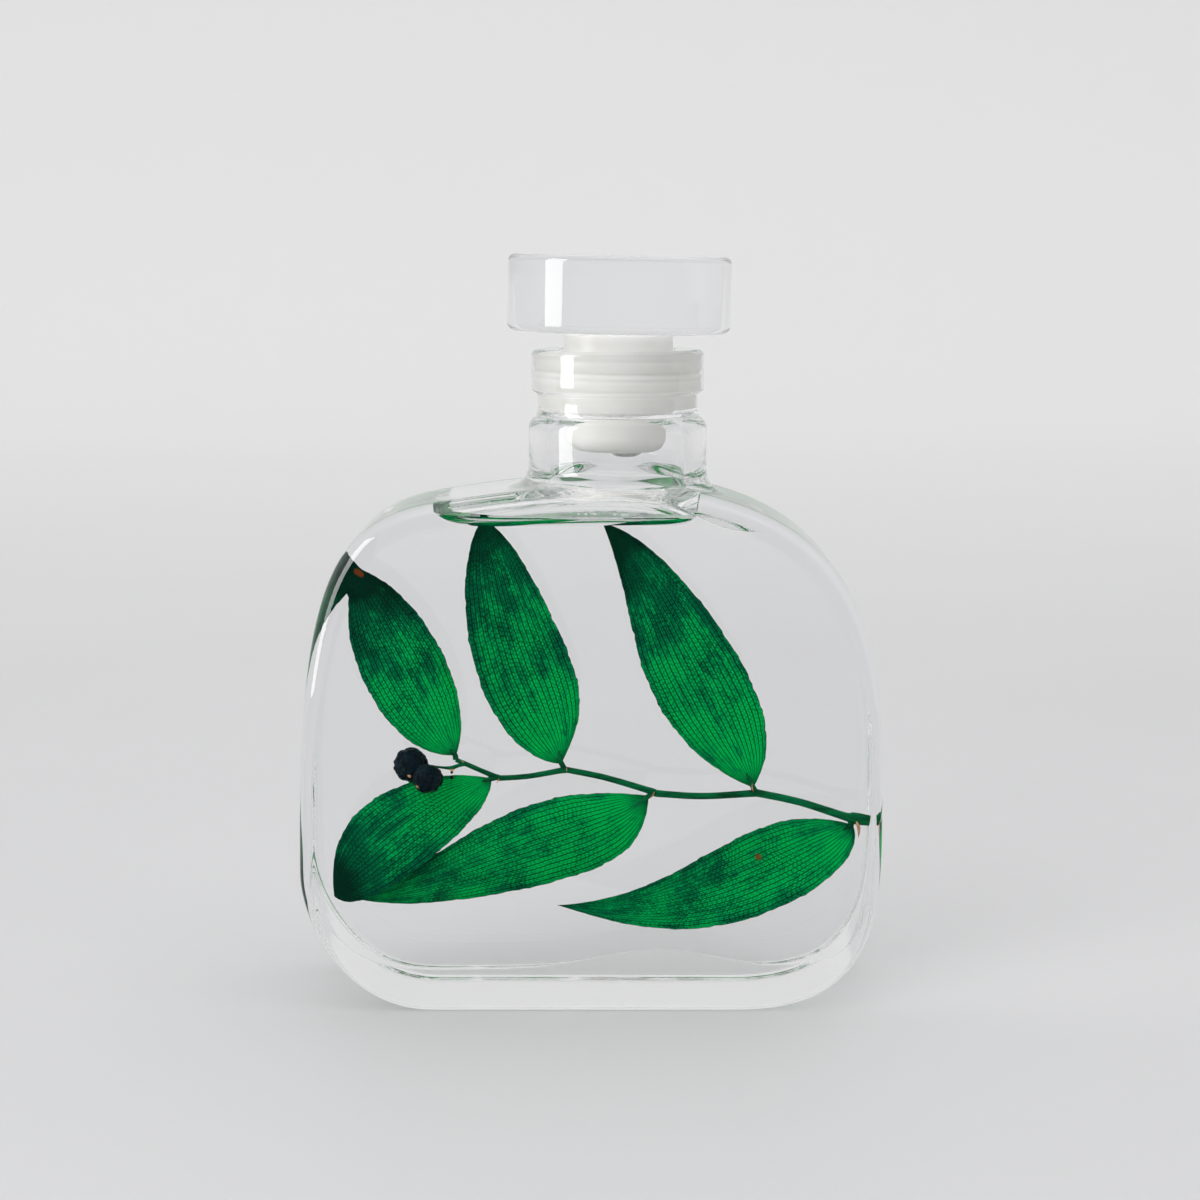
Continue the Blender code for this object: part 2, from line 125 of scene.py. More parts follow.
# Leaves: where each joins the stem, its base, its two edges as inner points of one smooth curve
# each, and its tip, all as x, z. "lean" is how far the tip lies back, "cup" how far the edges
# bend back, "roll" how far one edge lies behind the other, "wave" how much its edges ripple,
# and "dusk" how dark the leaf is towards its tip.
LEAVES = {
    "upper_left": dict(
        joint=(-21.9, 38.9), base=(-21.9, 39.6), tip=(-37.6, 70.0),
        edge_a=((-32.1, 39.3), (-35.8, 49.3), (-42.6, 58.3)),
        edge_b=((-19.1, 46.4), (-22.6, 58.0), (-30.3, 67.7)),
        lean=1.6, cup=0.9, roll=0.8, wave=0.18, dusk=1.0),
    "upper_middle": dict(
        joint=(-4.2, 37.2), base=(-4.8, 38.2), tip=(-17.3, 78.2),
        edge_a=((-14.4, 39.1), (-22.1, 52.4), (-22.0, 72.6)),
        edge_b=((2.8, 52.9), (-4.7, 52.9), (-9.0, 74.4)),
        lean=-1.8, cup=-0.9, roll=1.2, wave=0.2, dusk=0.75),
    "upper_right": dict(
        joint=(26.9, 33.4), base=(26.4, 34.3), tip=(2.0, 77.4),
        edge_a=((12.5, 39.5), (5.5, 52.7), (7.8, 62.5)),
        edge_b=((32.8, 45.4), (25.3, 54.1), (14.1, 74.2)),
        lean=1.8, cup=1.0, roll=-1.2, wave=0.2, dusk=0.85),
    "lower_left": dict(
        joint=(-15.2, 36.0), base=(-16.1, 35.8), tip=(-41.8, 16.5),
        edge_a=((-26.4, 38.0), (-36.9, 33.5), (-43.3, 29.0)),
        edge_b=((-16.3, 30.1), (-21.4, 26.8), (-36.6, 11.3)),
        lean=-1.2, cup=0.6, roll=-0.5, wave=0.15, dusk=0.9),
    "lower_middle": dict(
        joint=(10.3, 33.5), base=(9.4, 33.0), tip=(-38.4, 15.5),
        edge_a=((-4.8, 34.5), (-14.3, 32.4), (-23.4, 23.1)),
        edge_b=((8.7, 17.3), (-5.0, 20.8), (-21.4, 12.0)),
        lean=2.4, cup=0.8, roll=0.8, wave=0.2, dusk=0.25),
    "lower_right": dict(
        joint=(41.9, 29.4), base=(42.6, 28.2), tip=(-5.4, 15.1),
        edge_a=((29.3, 32.0), (21.2, 25.8), (12.8, 16.0)),
        edge_b=((46.9, 19.6), (21.0, 6.6), (10.7, 10.1)),
        lean=-1.8, cup=-0.8, roll=-0.9, wave=0.2, dusk=0.25),
}

# Nicks along a leaf's edges, as waves of a height and a pace
EDGE_NICKS = ((0.009, 37.0), (0.006, 83.0), (0.008, 139.0), (0.006, 211.0))

# Small brown marks on the leaves: x, z, size
LEAF_MARKS = ((27.3, 22.9, 0.6), (-37.0, 69.0, 0.5))

# Berries and the bud's two lumps: centre and radius
BERRIES = (
    (-29.1, -1.5, 38.2, 2.95), (-26.35, -4.1, 36.3, 2.54),
    (-22.55, -0.5, 36.9, 0.46), (-22.6, -0.5, 36.05, 0.52),
)

# Pale scars on the berries and the bud's ring: x, y, z, the way it faces, and its size
SCARS = (
    (-29.3, -3.95, 36.65, (-0.25, -0.80, -0.54), 0.62),
    (-28.0, -5.55, 35.15, (-0.70, -0.55, -0.45), 0.55),
    (-22.55, -0.55, 37.35, (0.1, -0.5, 0.85), 0.85),
)

# Bracts at the joints: x, y, z, turn in the plane of the front, length
BRACTS = (
    (43.15, -0.75, 28.9, 276.0, 2.9), (26.45, -0.45, 33.7, 98.0, 1.5),
    (10.35, -0.5, 33.7, 232.0, 1.6), (-3.9, -0.45, 37.0, 80.0, 0.9),
    (-14.9, -0.45, 35.9, 240.0, 1.0), (-20.6, -0.4, 38.5, 130.0, 0.8),
)


def sum_methods(operation):
    """A sum's two Python methods: with the link on its left and on its right."""
    return (lambda self, other: self.maths(operation, self, other),
            lambda self, other: self.maths(operation, other, self))


class Link:
    """A node's output that takes part in Python sums; each sum adds its Math node."""

    __add__, __radd__ = sum_methods("ADD")
    __sub__, __rsub__ = sum_methods("SUBTRACT")
    __mul__, __rmul__ = sum_methods("MULTIPLY")
    __truediv__, __rtruediv__ = sum_methods("DIVIDE")
    __pow__ = sum_methods("POWER")[0]
    at_most = sum_methods("MINIMUM")[0]
    at_least = sum_methods("MAXIMUM")[0]

    def __init__(self, sheet, socket):
        self.sheet = sheet
        self.socket = socket

    def maths(self, operation, *values):
        return self.sheet.node("ShaderNodeMath", {"operation": operation}, dict(enumerate(values)))

    def __abs__(self):
        return self.maths("ABSOLUTE", self)

    def fraction(self):
        return self.maths("FRACT", self)

    def whole(self):
        return self.maths("FLOOR", self)


class Sheet:
    """One node tree, written through a single node method."""

    def __init__(self, tree):
        self.tree = tree
        tree.nodes.clear()

    def node(self, kind, settings=None, values=None, output=0):
        """Adds a node: its settings first, then the values or links of its sockets."""
        made = self.tree.nodes.new(kind)
        for name, value in (settings or {}).items():
            setattr(made, name, value)
        for key, value in (values or {}).items():
            socket = made.inputs[key]
            if isinstance(value, Link):
                self.tree.links.new(value.socket, socket)
            elif socket.type == "RGBA" and len(value) == 3:
                socket.default_value = (*value, 1.0)
            else:
                socket.default_value = value
        return Link(self, made.outputs[output]) if made.outputs else made

    def blend(self, factor, first, second):
        """A colour between two colours."""
        values = {0: factor, 6: first, 7: second}
        return self.node("ShaderNodeMix", {"data_type": "RGBA"}, values, output=2)

    def step(self, value, low, high, start=0.0, end=1.0):
        """Runs smoothly from start to end while the value goes from low to high."""
        return self.node("ShaderNodeMapRange", {"interpolation_type": "SMOOTHSTEP"}, {
            "Value": value, "From Min": low, "From Max": high, "To Min": start, "To Max": end})

    def noise(self, place, size, detail=2.0, roughness=0.5, stretch=(1.0, 1.0, 1.0)):
        """Cloudy noise whose lumps are about size metres across."""
        scale = tuple(share / size for share in stretch)
        grown = self.node("ShaderNodeMapping", values={"Vector": place, "Scale": scale})
        values = {"Vector": grown, "Scale": 1.0, "Detail": detail, "Roughness": roughness}
        return self.node("ShaderNodeTexNoise", values=values)

    def bump(self, height, strength, distance=0.0001):
        values = {"Strength": strength, "Distance": distance, "Height": height}
        return self.node("ShaderNodeBump", values=values)

    def position(self):
        return self.node("ShaderNodeTexCoord", output="Object")

    def parts(self, vector):
        """The x, y and z of a vector."""
        outputs = self.node("ShaderNodeSeparateXYZ", values={0: vector}).socket.node.outputs
        return [Link(self, output) for output in outputs]

    def attribute(self, name):
        return self.node("ShaderNodeAttribute", {"attribute_name": name}, output="Fac")

    def vector(self, operation, first, second):
        """A vector sum of two vectors, or of a vector and a scale."""
        key = "Scale" if operation == "SCALE" else 1
        return self.node("ShaderNodeVectorMath", {"operation": operation}, {0: first, key: second})

    def skin(self, colour, roughness, normal, **more):
        """A plain surface; further inputs go by their names with _ for each space."""
        values = {"Base Color": colour, "Roughness": roughness, "Normal": normal}
        values.update({name.replace("_", " "): value for name, value in more.items()})
        return self.node("ShaderNodeBsdfPrincipled", values=values)

    def mix(self, factor, first, second):
        """A surface between two surfaces."""
        return self.node("ShaderNodeMixShader", values={0: factor, 1: first, 2: second})

    def finish(self, surface):
        self.node("ShaderNodeOutputMaterial", values={"Surface": surface})


def shader_sheet(name):
    material = bpy.data.materials.new(name)
    material.use_nodes = True
    return material, Sheet(material.node_tree)


def mirror_image(sheet):
    """1 where a ray comes from a mirror reflection, such as on the outside of the glass."""
    paths = sheet.node("ShaderNodeLightPath").socket.node.outputs
    return Link(sheet, paths["Is Reflection Ray"]) * (1.0 - Link(sheet, paths["Is Diffuse Ray"]))


def clear_material(name, ior, tint, shade=0.9):
    """Clear glass or oil: bent rays for the eye, a straight tinted path for the shadow rays."""
    material, sheet = shader_sheet(name)
    body = sheet.node("ShaderNodeBsdfPrincipled", values={
        "Base Color": tuple(tint), "Roughness": 0.0, "IOR": ior, "Transmission Weight": 1.0})
    through = sheet.node("ShaderNodeBsdfTransparent", values={"Color": (shade, shade, shade)})
    shadow = sheet.node("ShaderNodeLightPath", output="Is Shadow Ray")
    sheet.finish(sheet.mix(shadow, body, through))
    return material


def leaf_material(looks):
    """Preserved leaf: long dark veins that meet at both ends, joined by fine cross veinlets."""
    material, sheet = shader_sheet("preserved_leaf")
    across = sheet.node("ShaderNodeUVMap", {"uv_map": "leaf"})
    side, run, _ = sheet.parts(across)
    length = run * LEAF_UNIT
    reach = sheet.attribute("reach")
    dusk = sheet.attribute("dusk")
    place = sheet.position()
    wander = sheet.noise(place, 0.005, 1.0) - 0.5
    jitter = sheet.noise(place, 0.0012, 1.0) - 0.5
    side = side + wander * 0.02 + jitter * 0.008
    ribs = side * float(looks.vein_count)
    rib = sheet.step(abs(ribs.fraction() - 0.5), 0.31, 0.44)
    lanes = ribs * 2.0
    thread = sheet.step(abs(lanes.fraction() - 0.5), 0.22, 0.44)
    lane = sheet.node("ShaderNodeTexWhiteNoise", {"noise_dimensions": "1D"}, {"W": lanes.whole()})
    rung_place = length * 1.35 + lane * 9.0 + jitter * 1.2
    rung = sheet.step(abs(rung_place.fraction() - 0.5), 0.26, 0.44)
    cell = sheet.node("ShaderNodeTexWhiteNoise", {"noise_dimensions": "2D"},
                      {"Vector": sheet.node("ShaderNodeCombineXYZ", values={
                          0: lanes.whole(), 1: rung_place.whole()})})
    cloud = sheet.noise(place, 0.0075, 4.0, 0.6)
    grain = sheet.noise(place, 0.0011, 2.0, 0.6)
    spot = sheet.node("ShaderNodeCombineXYZ", values={0: side * 9.0, 1: length * 0.16})
    streak = sheet.node("ShaderNodeTexNoise", values={
        "Vector": sheet.vector("ADD", spot, sheet.vector("SCALE", place, 60.0)),
        "Scale": 1.0, "Detail": 2.0, "Roughness": 0.5})
    clear = sheet.step(sheet.noise(place, 0.004, 1.0), 0.3, 0.7, 0.6, 1.0)
    margin = sheet.step(abs(side - 0.5) + (cloud - 0.5) * 0.3, 0.36, 0.52)
    tip = sheet.step(reach + (cloud - 0.5) * 0.5 + (lane - 0.5) * 0.06, 1.0 - dusk * 0.36,
                     1.12 - dusk * 0.24) * (dusk * 0.3 + 0.7)
    foot = sheet.step(reach, 0.0, 0.12, 1.0, 0.0)
    rung = rung * sheet.step(reach, 0.06, 0.35, 0.3, 1.0)
    veins = rib.at_least(thread * sheet.step(reach, 0.1, 0.5, 0.4, 0.75) * clear)
    veins = veins.at_least(rung * clear * 0.9)
    dim = sheet.step(cloud * 0.55 + streak * 0.45 + (grain - 0.5) * 0.18 + (cell - 0.5) * 0.14
                     + sheet.step(reach, 0.25, 1.0) * (dusk * 0.25 + 0.07), 0.44, 0.72)
    colour = sheet.blend(dim, looks.leaf_colour, looks.leaf_shade)
    colour = sheet.blend(margin * 0.6, colour, looks.margin_colour)
    colour = sheet.blend(veins * 0.95, colour, looks.vein_colour)
    colour = sheet.blend(tip * (0.55 + 0.4 * dusk), colour, looks.tip_colour)
    colour = sheet.blend(foot * 0.85, colour, looks.foot_colour)
    place_x, _, place_z = sheet.parts(place)
    marks = 0.0
    for x, z, size in LEAF_MARKS:
        away = (place_x - x * MM) ** 2.0 + (place_z - z * MM) ** 2.0
        away = away ** 0.5 + (grain - 0.5) * 0.0004
        marks = sheet.step(away, size * 0.6 * MM, size * MM, 1.0, 0.0) + marks
    colour = sheet.blend(marks * 0.85, colour, looks.mark_colour)
    height = veins * 0.7 + grain * 0.3
    skin = sheet.skin(colour, sheet.step(grain, 0.2, 0.8, 0.38, 0.58), sheet.bump(height, 0.35),
                      Specular_IOR_Level=0.0)
    glow = sheet.node("ShaderNodeBsdfTranslucent", values={"Color": tuple(looks.glow_colour)})
    thin = (1.0 - veins * 0.95) * (1.0 - tip * 0.8) * (1.0 - dim * 0.78) * (1.0 - foot * 0.6)
    thin = thin * (1.0 - margin * 0.5) * (1.0 - marks * 0.9) * looks.leaf_glow
    sheet.finish(sheet.mix(thin, skin, glow))
    return material


def stem_material(looks):
    material, sheet = shader_sheet("green_stem")
    place = sheet.position()
    streak = sheet.noise(place, 0.0012, 2.0, 0.6, (0.18, 1.0, 1.0))
    cloud = sheet.noise(place, 0.006, 2.0)
    colour = sheet.blend(sheet.step(streak, 0.35, 0.7), looks.stem_colour, looks.stem_shade)
    colour = sheet.blend(sheet.step(cloud, 0.5, 0.75, 0.0, 0.5), colour, looks.leaf_shade)
    sheet.finish(sheet.skin(colour, sheet.step(streak, 0.2, 0.8, 0.35, 0.55),
                            sheet.bump(streak, 0.4), Specular_IOR_Level=0.03))
    return material


def bract_material(looks):
    """Dry papery scale, tan with darker streaks."""
    material, sheet = shader_sheet("dry_bract")
    place = sheet.position()
    streak = sheet.noise(place, 0.0006, 2.0, 0.6, (0.3, 1.0, 1.0))
    colour = sheet.blend(sheet.step(streak, 0.35, 0.65), looks.bract_colour, looks.bract_shade)
    sheet.finish(sheet.skin(colour, sheet.step(streak, 0.2, 0.8, 0.5, 0.7),
                            sheet.bump(streak, 0.4)))
    return material


def berry_material(looks):
    """Dark blue-black skin, wrinkled, with a faint waxy bloom."""
    material, sheet = shader_sheet("berry_skin")
    place = sheet.position()
    cloud = sheet.noise(place, 0.0016, 3.0, 0.6)
    fine = sheet.noise(place, 0.0004, 2.0, 0.6)
    bloom = sheet.step(cloud + (fine - 0.5) * 0.3, 0.45, 0.72)
    colour = sheet.blend(bloom, looks.berry_colour, looks.bloom_colour)
    sheet.finish(sheet.skin(colour, sheet.step(bloom, 0.0, 1.0, 0.32, 0.55),
                            sheet.bump(cloud + fine * 0.4, 0.5, 0.0002), Specular_IOR_Level=0.05))
    return material


def scar_material(looks):
    """Pale corky scar with darker grains."""
    material, sheet = shader_sheet("berry_scar")
    grain = sheet.noise(sheet.position(), 0.0003, 2.0, 0.6)
    colour = sheet.blend(sheet.step(grain, 0.4, 0.75), looks.scar_colour, looks.scar_shade)
    sheet.finish(sheet.skin(colour, sheet.step(grain, 0.2, 0.8, 0.5, 0.7),
                            sheet.bump(grain, 0.5), Specular_IOR_Level=0.1))
    return material


def plug_material(looks):
    """White moulded polyethylene: faint cloudiness and fine turned lines."""
    material, sheet = shader_sheet("white_polyethylene")
    place = sheet.position()
    cloud = sheet.noise(place, 0.006, 2.0)
    lines = sheet.noise(place, 0.0008, 1.0, 0.5, (0.04, 0.04, 1.0))
    colour = sheet.blend(sheet.step(cloud, 0.3, 0.7), looks.plug_colour, looks.plug_shade)
    sheet.finish(sheet.skin(
        colour, sheet.step(lines, 0.3, 0.7, 0.34, 0.46), sheet.bump(lines, 0.12),
        Subsurface_Weight=0.35, Subsurface_Radius=(0.004, 0.004, 0.0035), Subsurface_Scale=1.0))
    return material


def floor_material(looks):
    material, sheet = shader_sheet("pale_floor")
    place = sheet.position()
    _, depth, _ = sheet.parts(place)
    cloud = sheet.noise(place, 0.3, 3.0)
    colour = sheet.blend(sheet.step(cloud, 0.3, 0.7), looks.floor_colour, looks.floor_shade)
    colour = sheet.blend(sheet.step(depth, 0.1, 1.3), colour, looks.back_colour)
    skin = sheet.node("ShaderNodeBsdfPrincipled", values={
        "Base Color": colour, "Roughness": 0.55, "Specular IOR Level": 0.3})
    flag = sheet.node("ShaderNodeBsdfDiffuse", values={"Color": (0.0, 0.0, 0.0)})
    mirrored = mirror_image(sheet) * sheet.step(depth, -0.04, 0.0, looks.flags, 0.0)
    sheet.finish(sheet.mix(mirrored, skin, flag))
    return material


def finished(item, node):
    """Hands a finished piece to the frame."""
    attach(item, BODY)
    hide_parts(node)


def new_object(name, data):
    """An object in the scene."""
    item = bpy.data.objects.new(name, data)
    bpy.context.scene.collection.objects.link(item)
    return item


def piece_from_points(name, points, faces, materials, face_slots=None):
    """A smooth mesh object from millimetre points, facing outwards."""
    mesh = bpy.data.meshes.new(name)
    mesh.from_pydata((points * MM).tolist(), [], faces)
    for material in materials:
        mesh.materials.append(material)
    if face_slots is not None:
        mesh.polygons.foreach_set("material_index", face_slots)
    mesh.shade_smooth()
    mesh.update()
    return new_object(name, mesh)


def ring_faces(count, around, start=0):
    """Quads between rings of points, fans at both end points. Rings run bottom up, their points
    anticlockwise from above, so that faces look outwards. Points: first pole, rings, last pole."""
    index = start + 1 + np.arange(count * around).reshape(count, around)
    turned = np.roll(index, -1, axis=1)
    quads = np.stack((index[:-1], turned[:-1], turned[1:], index[1:]), axis=-1).reshape(-1, 4)
    last = start + 1 + count * around
    foot = [(start, b, a) for a, b in zip(index[0].tolist(), turned[0].tolist())]
    head = [(last, a, b) for a, b in zip(index[-1].tolist(), turned[-1].tolist())]
    return foot + quads.tolist() + head


def poled(first, rings, last):
    """The points of a closed skin: a pole, its rings and the other pole."""
    return np.concatenate((first[None], rings.reshape(-1, 3), last[None]))


def closed_piece(name, foot, rings, head, materials=(), face_slots=None):
    """A closed skin of rings between two poles."""
    faces = ring_faces(*rings.shape[:2])
    return piece_from_points(name, poled(foot, rings, head), faces, materials, face_slots)


def spread(path, count, bend_share, closed=False):
    """Places along each path, from 0 to 1, so that the steps are even in length and in how much
    the path bends. The paths run along the first axis."""
    steps = np.diff(path, axis=0)
    length = np.linalg.norm(steps, axis=-1) + 1e-9
    way = steps / length[..., None]
    dots = np.clip((way[1:] * way[:-1]).sum(axis=-1), -1.0, 1.0)
    bend = np.zeros(length.shape)
    bend[1:] += np.arccos(dots) / 2
    bend[:-1] += np.arccos(dots) / 2
    if closed:
        seam = np.arccos(np.clip((way[0] * way[-1]).sum(axis=-1), -1.0, 1.0)) / 2
        bend[0] += seam
        bend[-1] += seam
    weight = ((1 - bend_share) * length / length.sum(axis=0)
              + bend_share * (bend + 1e-6) / (bend + 1e-6).sum(axis=0))
    weight = evened(weight.T, 6, closed).T
    run = np.concatenate((np.zeros((1, *weight.shape[1:])), np.cumsum(weight, axis=0)))
    run /= run[-1]
    places = np.linspace(0.0, 1.0, len(run))
    goals = np.arange(count) / count if closed else np.linspace(0.0, 1.0, count)
    return np.stack([np.interp(goals, run[:, k], places) for k in range(run.shape[1])], axis=1)


def eased(value, start, end):
    """Runs smoothly from 0 to 1 while the value goes from start to end."""
    share = np.clip((value - start) / (end - start), 0.0, 1.0)
    return share * share * (3 - 2 * share)


def evened(values, rounds, closed):
    """Smooths a table along its second axis."""
    for _ in range(rounds):
        if closed:
            values = (np.roll(values, 1, axis=1) + 2 * values + np.roll(values, -1, axis=1)) / 4
        else:
            inner = (values[:, :-2] + 2 * values[:, 1:-1] + values[:, 2:]) / 4
            values = np.concatenate((values[:, :1], inner, values[:, -1:]), axis=1)
    return values


def outline_points(steps=OUTLINE_STEPS):
    """Points along the body's outline."""
    points = []
    for index, (x, z, heading, _, reach) in enumerate(BODY_OUTLINE):
        x2, z2, heading2, reach2, _ = BODY_OUTLINE[(index + 1) % len(BODY_OUTLINE)]
        start = np.array((x, z))
        end = np.array((x2, z2))
        turn = math.radians(heading)
        turn2 = math.radians(heading2)
        near = start + reach * np.array((math.cos(turn), math.sin(turn)))
        far = end - reach2 * np.array((math.cos(turn2), math.sin(turn2)))
        t = np.arange(steps)[:, None] / steps
        points.append((1 - t) ** 3 * start + 3 * (1 - t) ** 2 * t * near
                      + 3 * (1 - t) * t ** 2 * far + t ** 3 * end)
    return np.concatenate(points)


def inner_outline(looks):
    """The outline moved in by the glass, which is thickest and domed at the base."""
    outer = outline_points()
    along = np.roll(outer, -1, axis=0) - np.roll(outer, 1, axis=0)
    along /= np.linalg.norm(along, axis=1)[:, None]
    outward = np.stack((-along[:, 1], along[:, 0]), axis=1)
    down = np.maximum(0.0, -outward[:, 1]) ** 2
    up = np.maximum(0.0, outward[:, 1]) ** 2
    dome = np.exp(-((outer[:, 0] - looks.dome_x / MM) / (looks.dome_spread / MM)) ** 2)
    side = looks.side_wall / MM
    base = looks.base_wall / MM + looks.dome_height / MM * dome
    thick = looks.shoulder_extra / MM * np.exp(-((outer[:, 0] - 23.0) / 9.0) ** 2)
    wall = side + down * (base - side) + up * (looks.top_wall / MM + thick - side)
    return outer - outward * wall[:, None]


class Outline:
    """A closed outline and its signed distance, looked up on a fine grid."""

    def __init__(self, points, pitch=0.35, margin=8.0):
        self.pitch = pitch
        self.low = points.min(axis=0) - margin
        size = np.ceil((points.max(axis=0) + margin - self.low) / pitch).astype(int) + 1
        x = self.low[0] + pitch * np.arange(size[0])[:, None]
        z = self.low[1] + pitch * np.arange(size[1])[None, :]
        nearest = np.full(size, 1e9)
        inside = np.zeros(size, dtype=bool)
        for (ax, az), (bx, bz) in zip(points, np.roll(points, -1, axis=0)):
            dx, dz = bx - ax, bz - az
            share = np.clip(((x - ax) * dx + (z - az) * dz) / (dx * dx + dz * dz), 0.0, 1.0)
            gap = (x - ax - share * dx) ** 2 + (z - az - share * dz) ** 2
            np.minimum(nearest, gap, out=nearest)
            if az != bz:
                crosses = ((az > z) != (bz > z)) & (x < ax + (z - az) * dx / dz)
                inside ^= crosses
        self.table = np.where(inside, -1.0, 1.0) * np.sqrt(nearest)

    def distance(self, x, z):
        u = np.clip((x - self.low[0]) / self.pitch, 0, self.table.shape[0] - 1.001)
        v = np.clip((z - self.low[1]) / self.pitch, 0, self.table.shape[1] - 1.001)
        i, j = u.astype(int), v.astype(int)
        u, v = u - i, v - j
        table = self.table
        return ((1 - u) * (1 - v) * table[i, j] + u * (1 - v) * table[i + 1, j]
                + (1 - u) * v * table[i, j + 1] + u * v * table[i + 1, j + 1])


class Flask:
    """A flat rounded body that runs smoothly into an upright neck; all of its skin can be seen
    from the heart point. Its rims' rounding is given for the base, the left and right side at
    half height, and the shoulders."""

    def __init__(self, outline, half_depth, roundings, neck_radius, fillet):
        self.outline = Outline(outline)
        self.half_depth = half_depth
        self.roundings = roundings
        self.neck_radius = neck_radius
        self.fillet = fillet

    def rounding(self, x, z):
        base, left, right, top = self.roundings
        side = left + (right - left) * eased(x, -12.0, 12.0)
        low = side + (base - side) * eased(z, 22.0, 4.0)
        return low + (top - low) * eased(z, 36.0, 74.0)

    def distance(self, points):
        x, y, z = points[..., 0], points[..., 1], points[..., 2]
        rounding = self.rounding(x, z)
        across = self.outline.distance(x, z) + rounding
        deep = np.abs(y) - self.half_depth + rounding
        body = (np.hypot(np.maximum(across, 0), np.maximum(deep, 0))
                + np.minimum(np.maximum(across, deep), 0) - rounding)
        neck = np.maximum(np.hypot(x - NECK_X, y) - self.neck_radius, 62.0 - z)
        near = np.maximum(self.fillet - np.abs(body - neck), 0.0) / self.fillet
        return np.minimum(body, neck) - near * near * self.fillet / 4

    def net(self, around, spans, end):
        """A net over the skin, closer where it bends. Its columns run from straight down to the
        polar angle end, and its rows are shared out over spans of (rows, height of the last row,
        or None for the net's end). Gives the bearings and polar angles of all its knots."""
        # A fine even net shows where the skin bends
        polar = np.linspace(0.0, end, 141)[1:]
        turn = np.linspace(0.0, 2 * math.pi, 721)
        probe = self.skin(np.broadcast_to(turn, (len(polar), len(turn))),
                          np.broadcast_to(polar[:, None], (len(polar), len(turn))))
        share = spread(probe.transpose(1, 0, 2), around, 0.62, closed=True)
        fade = np.clip(np.minimum(polar / 0.35, (end - polar) / 0.12), 0.0, 1.0)
        level = np.arange(around)[:, None] / around
        share = evened(level + (share - level) * fade, 10, closed=False)
        bearing = share.T * 2 * math.pi
        columns = self.skin(bearing, np.broadcast_to(polar[:, None], bearing.shape))

        def bearings_at(angles):
            return np.stack([np.interp(angles[:, k], polar, bearing[:, k])
                             for k in range(around)], axis=1)

        knots = []
        first = np.full(around, polar[0])
        for rows, height in spans:
            if height is None:
                last = np.full(around, end)
            else:
                upper = polar > math.pi / 2
                last = np.array([np.interp(height, columns[upper, k, 2], polar[upper])
                                 for k in range(around)])
            grid = np.linspace(0.0, 1.0, 90)[:, None] * (last - first) + first
            path = self.skin(bearings_at(grid), grid)
            places = evened(spread(path, rows + 1, 0.55), 6, closed=True)
            chosen = first + places * (last - first)
            if not knots:
                chosen[0] = first
            knots.append(chosen[0 if not knots else 1:])
            first = last
        knots = np.concatenate(knots)
        return bearings_at(knots), knots

    def skin(self, angles, polar):
        """Points where rays from the heart leave the flask; polar angles from straight down."""
        way = np.stack((np.sin(polar) * np.cos(angles), np.sin(polar) * np.sin(angles),
                        -np.cos(polar)), axis=-1)
        reach = np.full(polar.shape, 10.0)
        for _ in range(STRIDES):
            reach = reach - STRIDE * self.distance(HEART + reach[..., None] * way)
        return HEART + reach[..., None] * way


def circles(profile, angles):
    """Level circles about the neck's axis, one for each (radius, height) of a profile."""
    profile = np.array(profile)
    r, z = profile[:, 0, None], profile[:, 1, None]
    level = np.broadcast_to(z, (len(profile), len(angles)))
    return np.stack((NECK_X + r * np.cos(angles), r * np.sin(angles), level), axis=-1)


def arc(centre_r, centre_z, radius, start, end, steps):
    """Points (r, z) on an arc of a turned profile; angles in degrees from straight outwards."""
    turn = np.radians(np.linspace(start, end, steps + 1))
    return [(centre_r + radius * c, centre_z + radius * s)
            for c, s in zip(np.cos(turn), np.sin(turn))]


def outer_neck(looks):
    """The neck's outside, bottom up: shoulder, groove, finish band and lip."""
    r = looks.neck_radius / MM
    groove = looks.groove_radius / MM
    band = looks.finish_radius / MM
    top = looks.neck_top / MM
    bore = looks.bore_radius / MM
    profile = [(r, height) for height in (89.0, 90.0, 91.0, 91.8)]
    profile += arc(r - 2.2, 92.4, 2.2, 0.0, 62.0, 7)
    profile += [(groove + 0.12, 95.0), (groove, 95.5), (groove, 96.5), (groove, 97.4),
                (groove + 0.06, 97.9)]
    profile += arc(band - 0.45, 98.85, 0.45, -75.0, 0.0, 4)
    profile += [(band, height) for height in (99.6, 100.8, 102.2, 103.6)]
    profile += arc(band - 1.0, top - 1.0, 1.0, 0.0, 90.0, 7)
    profile += [((band + bore) / 2, top)]
    profile += arc(bore + 0.7, top - 0.7, 0.7, 90.0, 180.0, 5)
    return profile


def bore_profile(looks):
    """The bore from the lip down to the cavity."""
    bore = looks.bore_radius / MM
    lower = looks.lower_bore_radius / MM
    seat = [(bore, height) for height in (104.0, 102.5, 101.0, 99.5, 98.0, 96.5, 95.4)]
    step = arc(bore + 0.8, SEAT_STEP, 0.8, 180.0, 240.0, 3)[1:]
    shoulder = arc(lower - 1.2, 93.0, 1.2, 60.0, 0.0, 4)
    down = [(lower, height) for height in (92.0, 91.0, 90.0, 89.0, 88.0)]
    return seat, step + shoulder + down


def size_setting(name, description, value, **limits):
    """A setting of a size, given here in millimetres."""
    return FloatProperty(name=name, description=description, default=value * MM,
                         unit="LENGTH", **limits)


def number_setting(name, description, value, **more):
    return FloatProperty(name=name, description=description, default=value, **more)


def angle_setting(name, description, degrees):
    return FloatProperty(name=name, description=description, default=math.radians(degrees),
                         subtype="ANGLE", unit="ROTATION")


def colour_setting(name, description, value):
    return FloatVectorProperty(name=name, description=description, default=value,
                               subtype="COLOR", min=0.0, max=1.0)


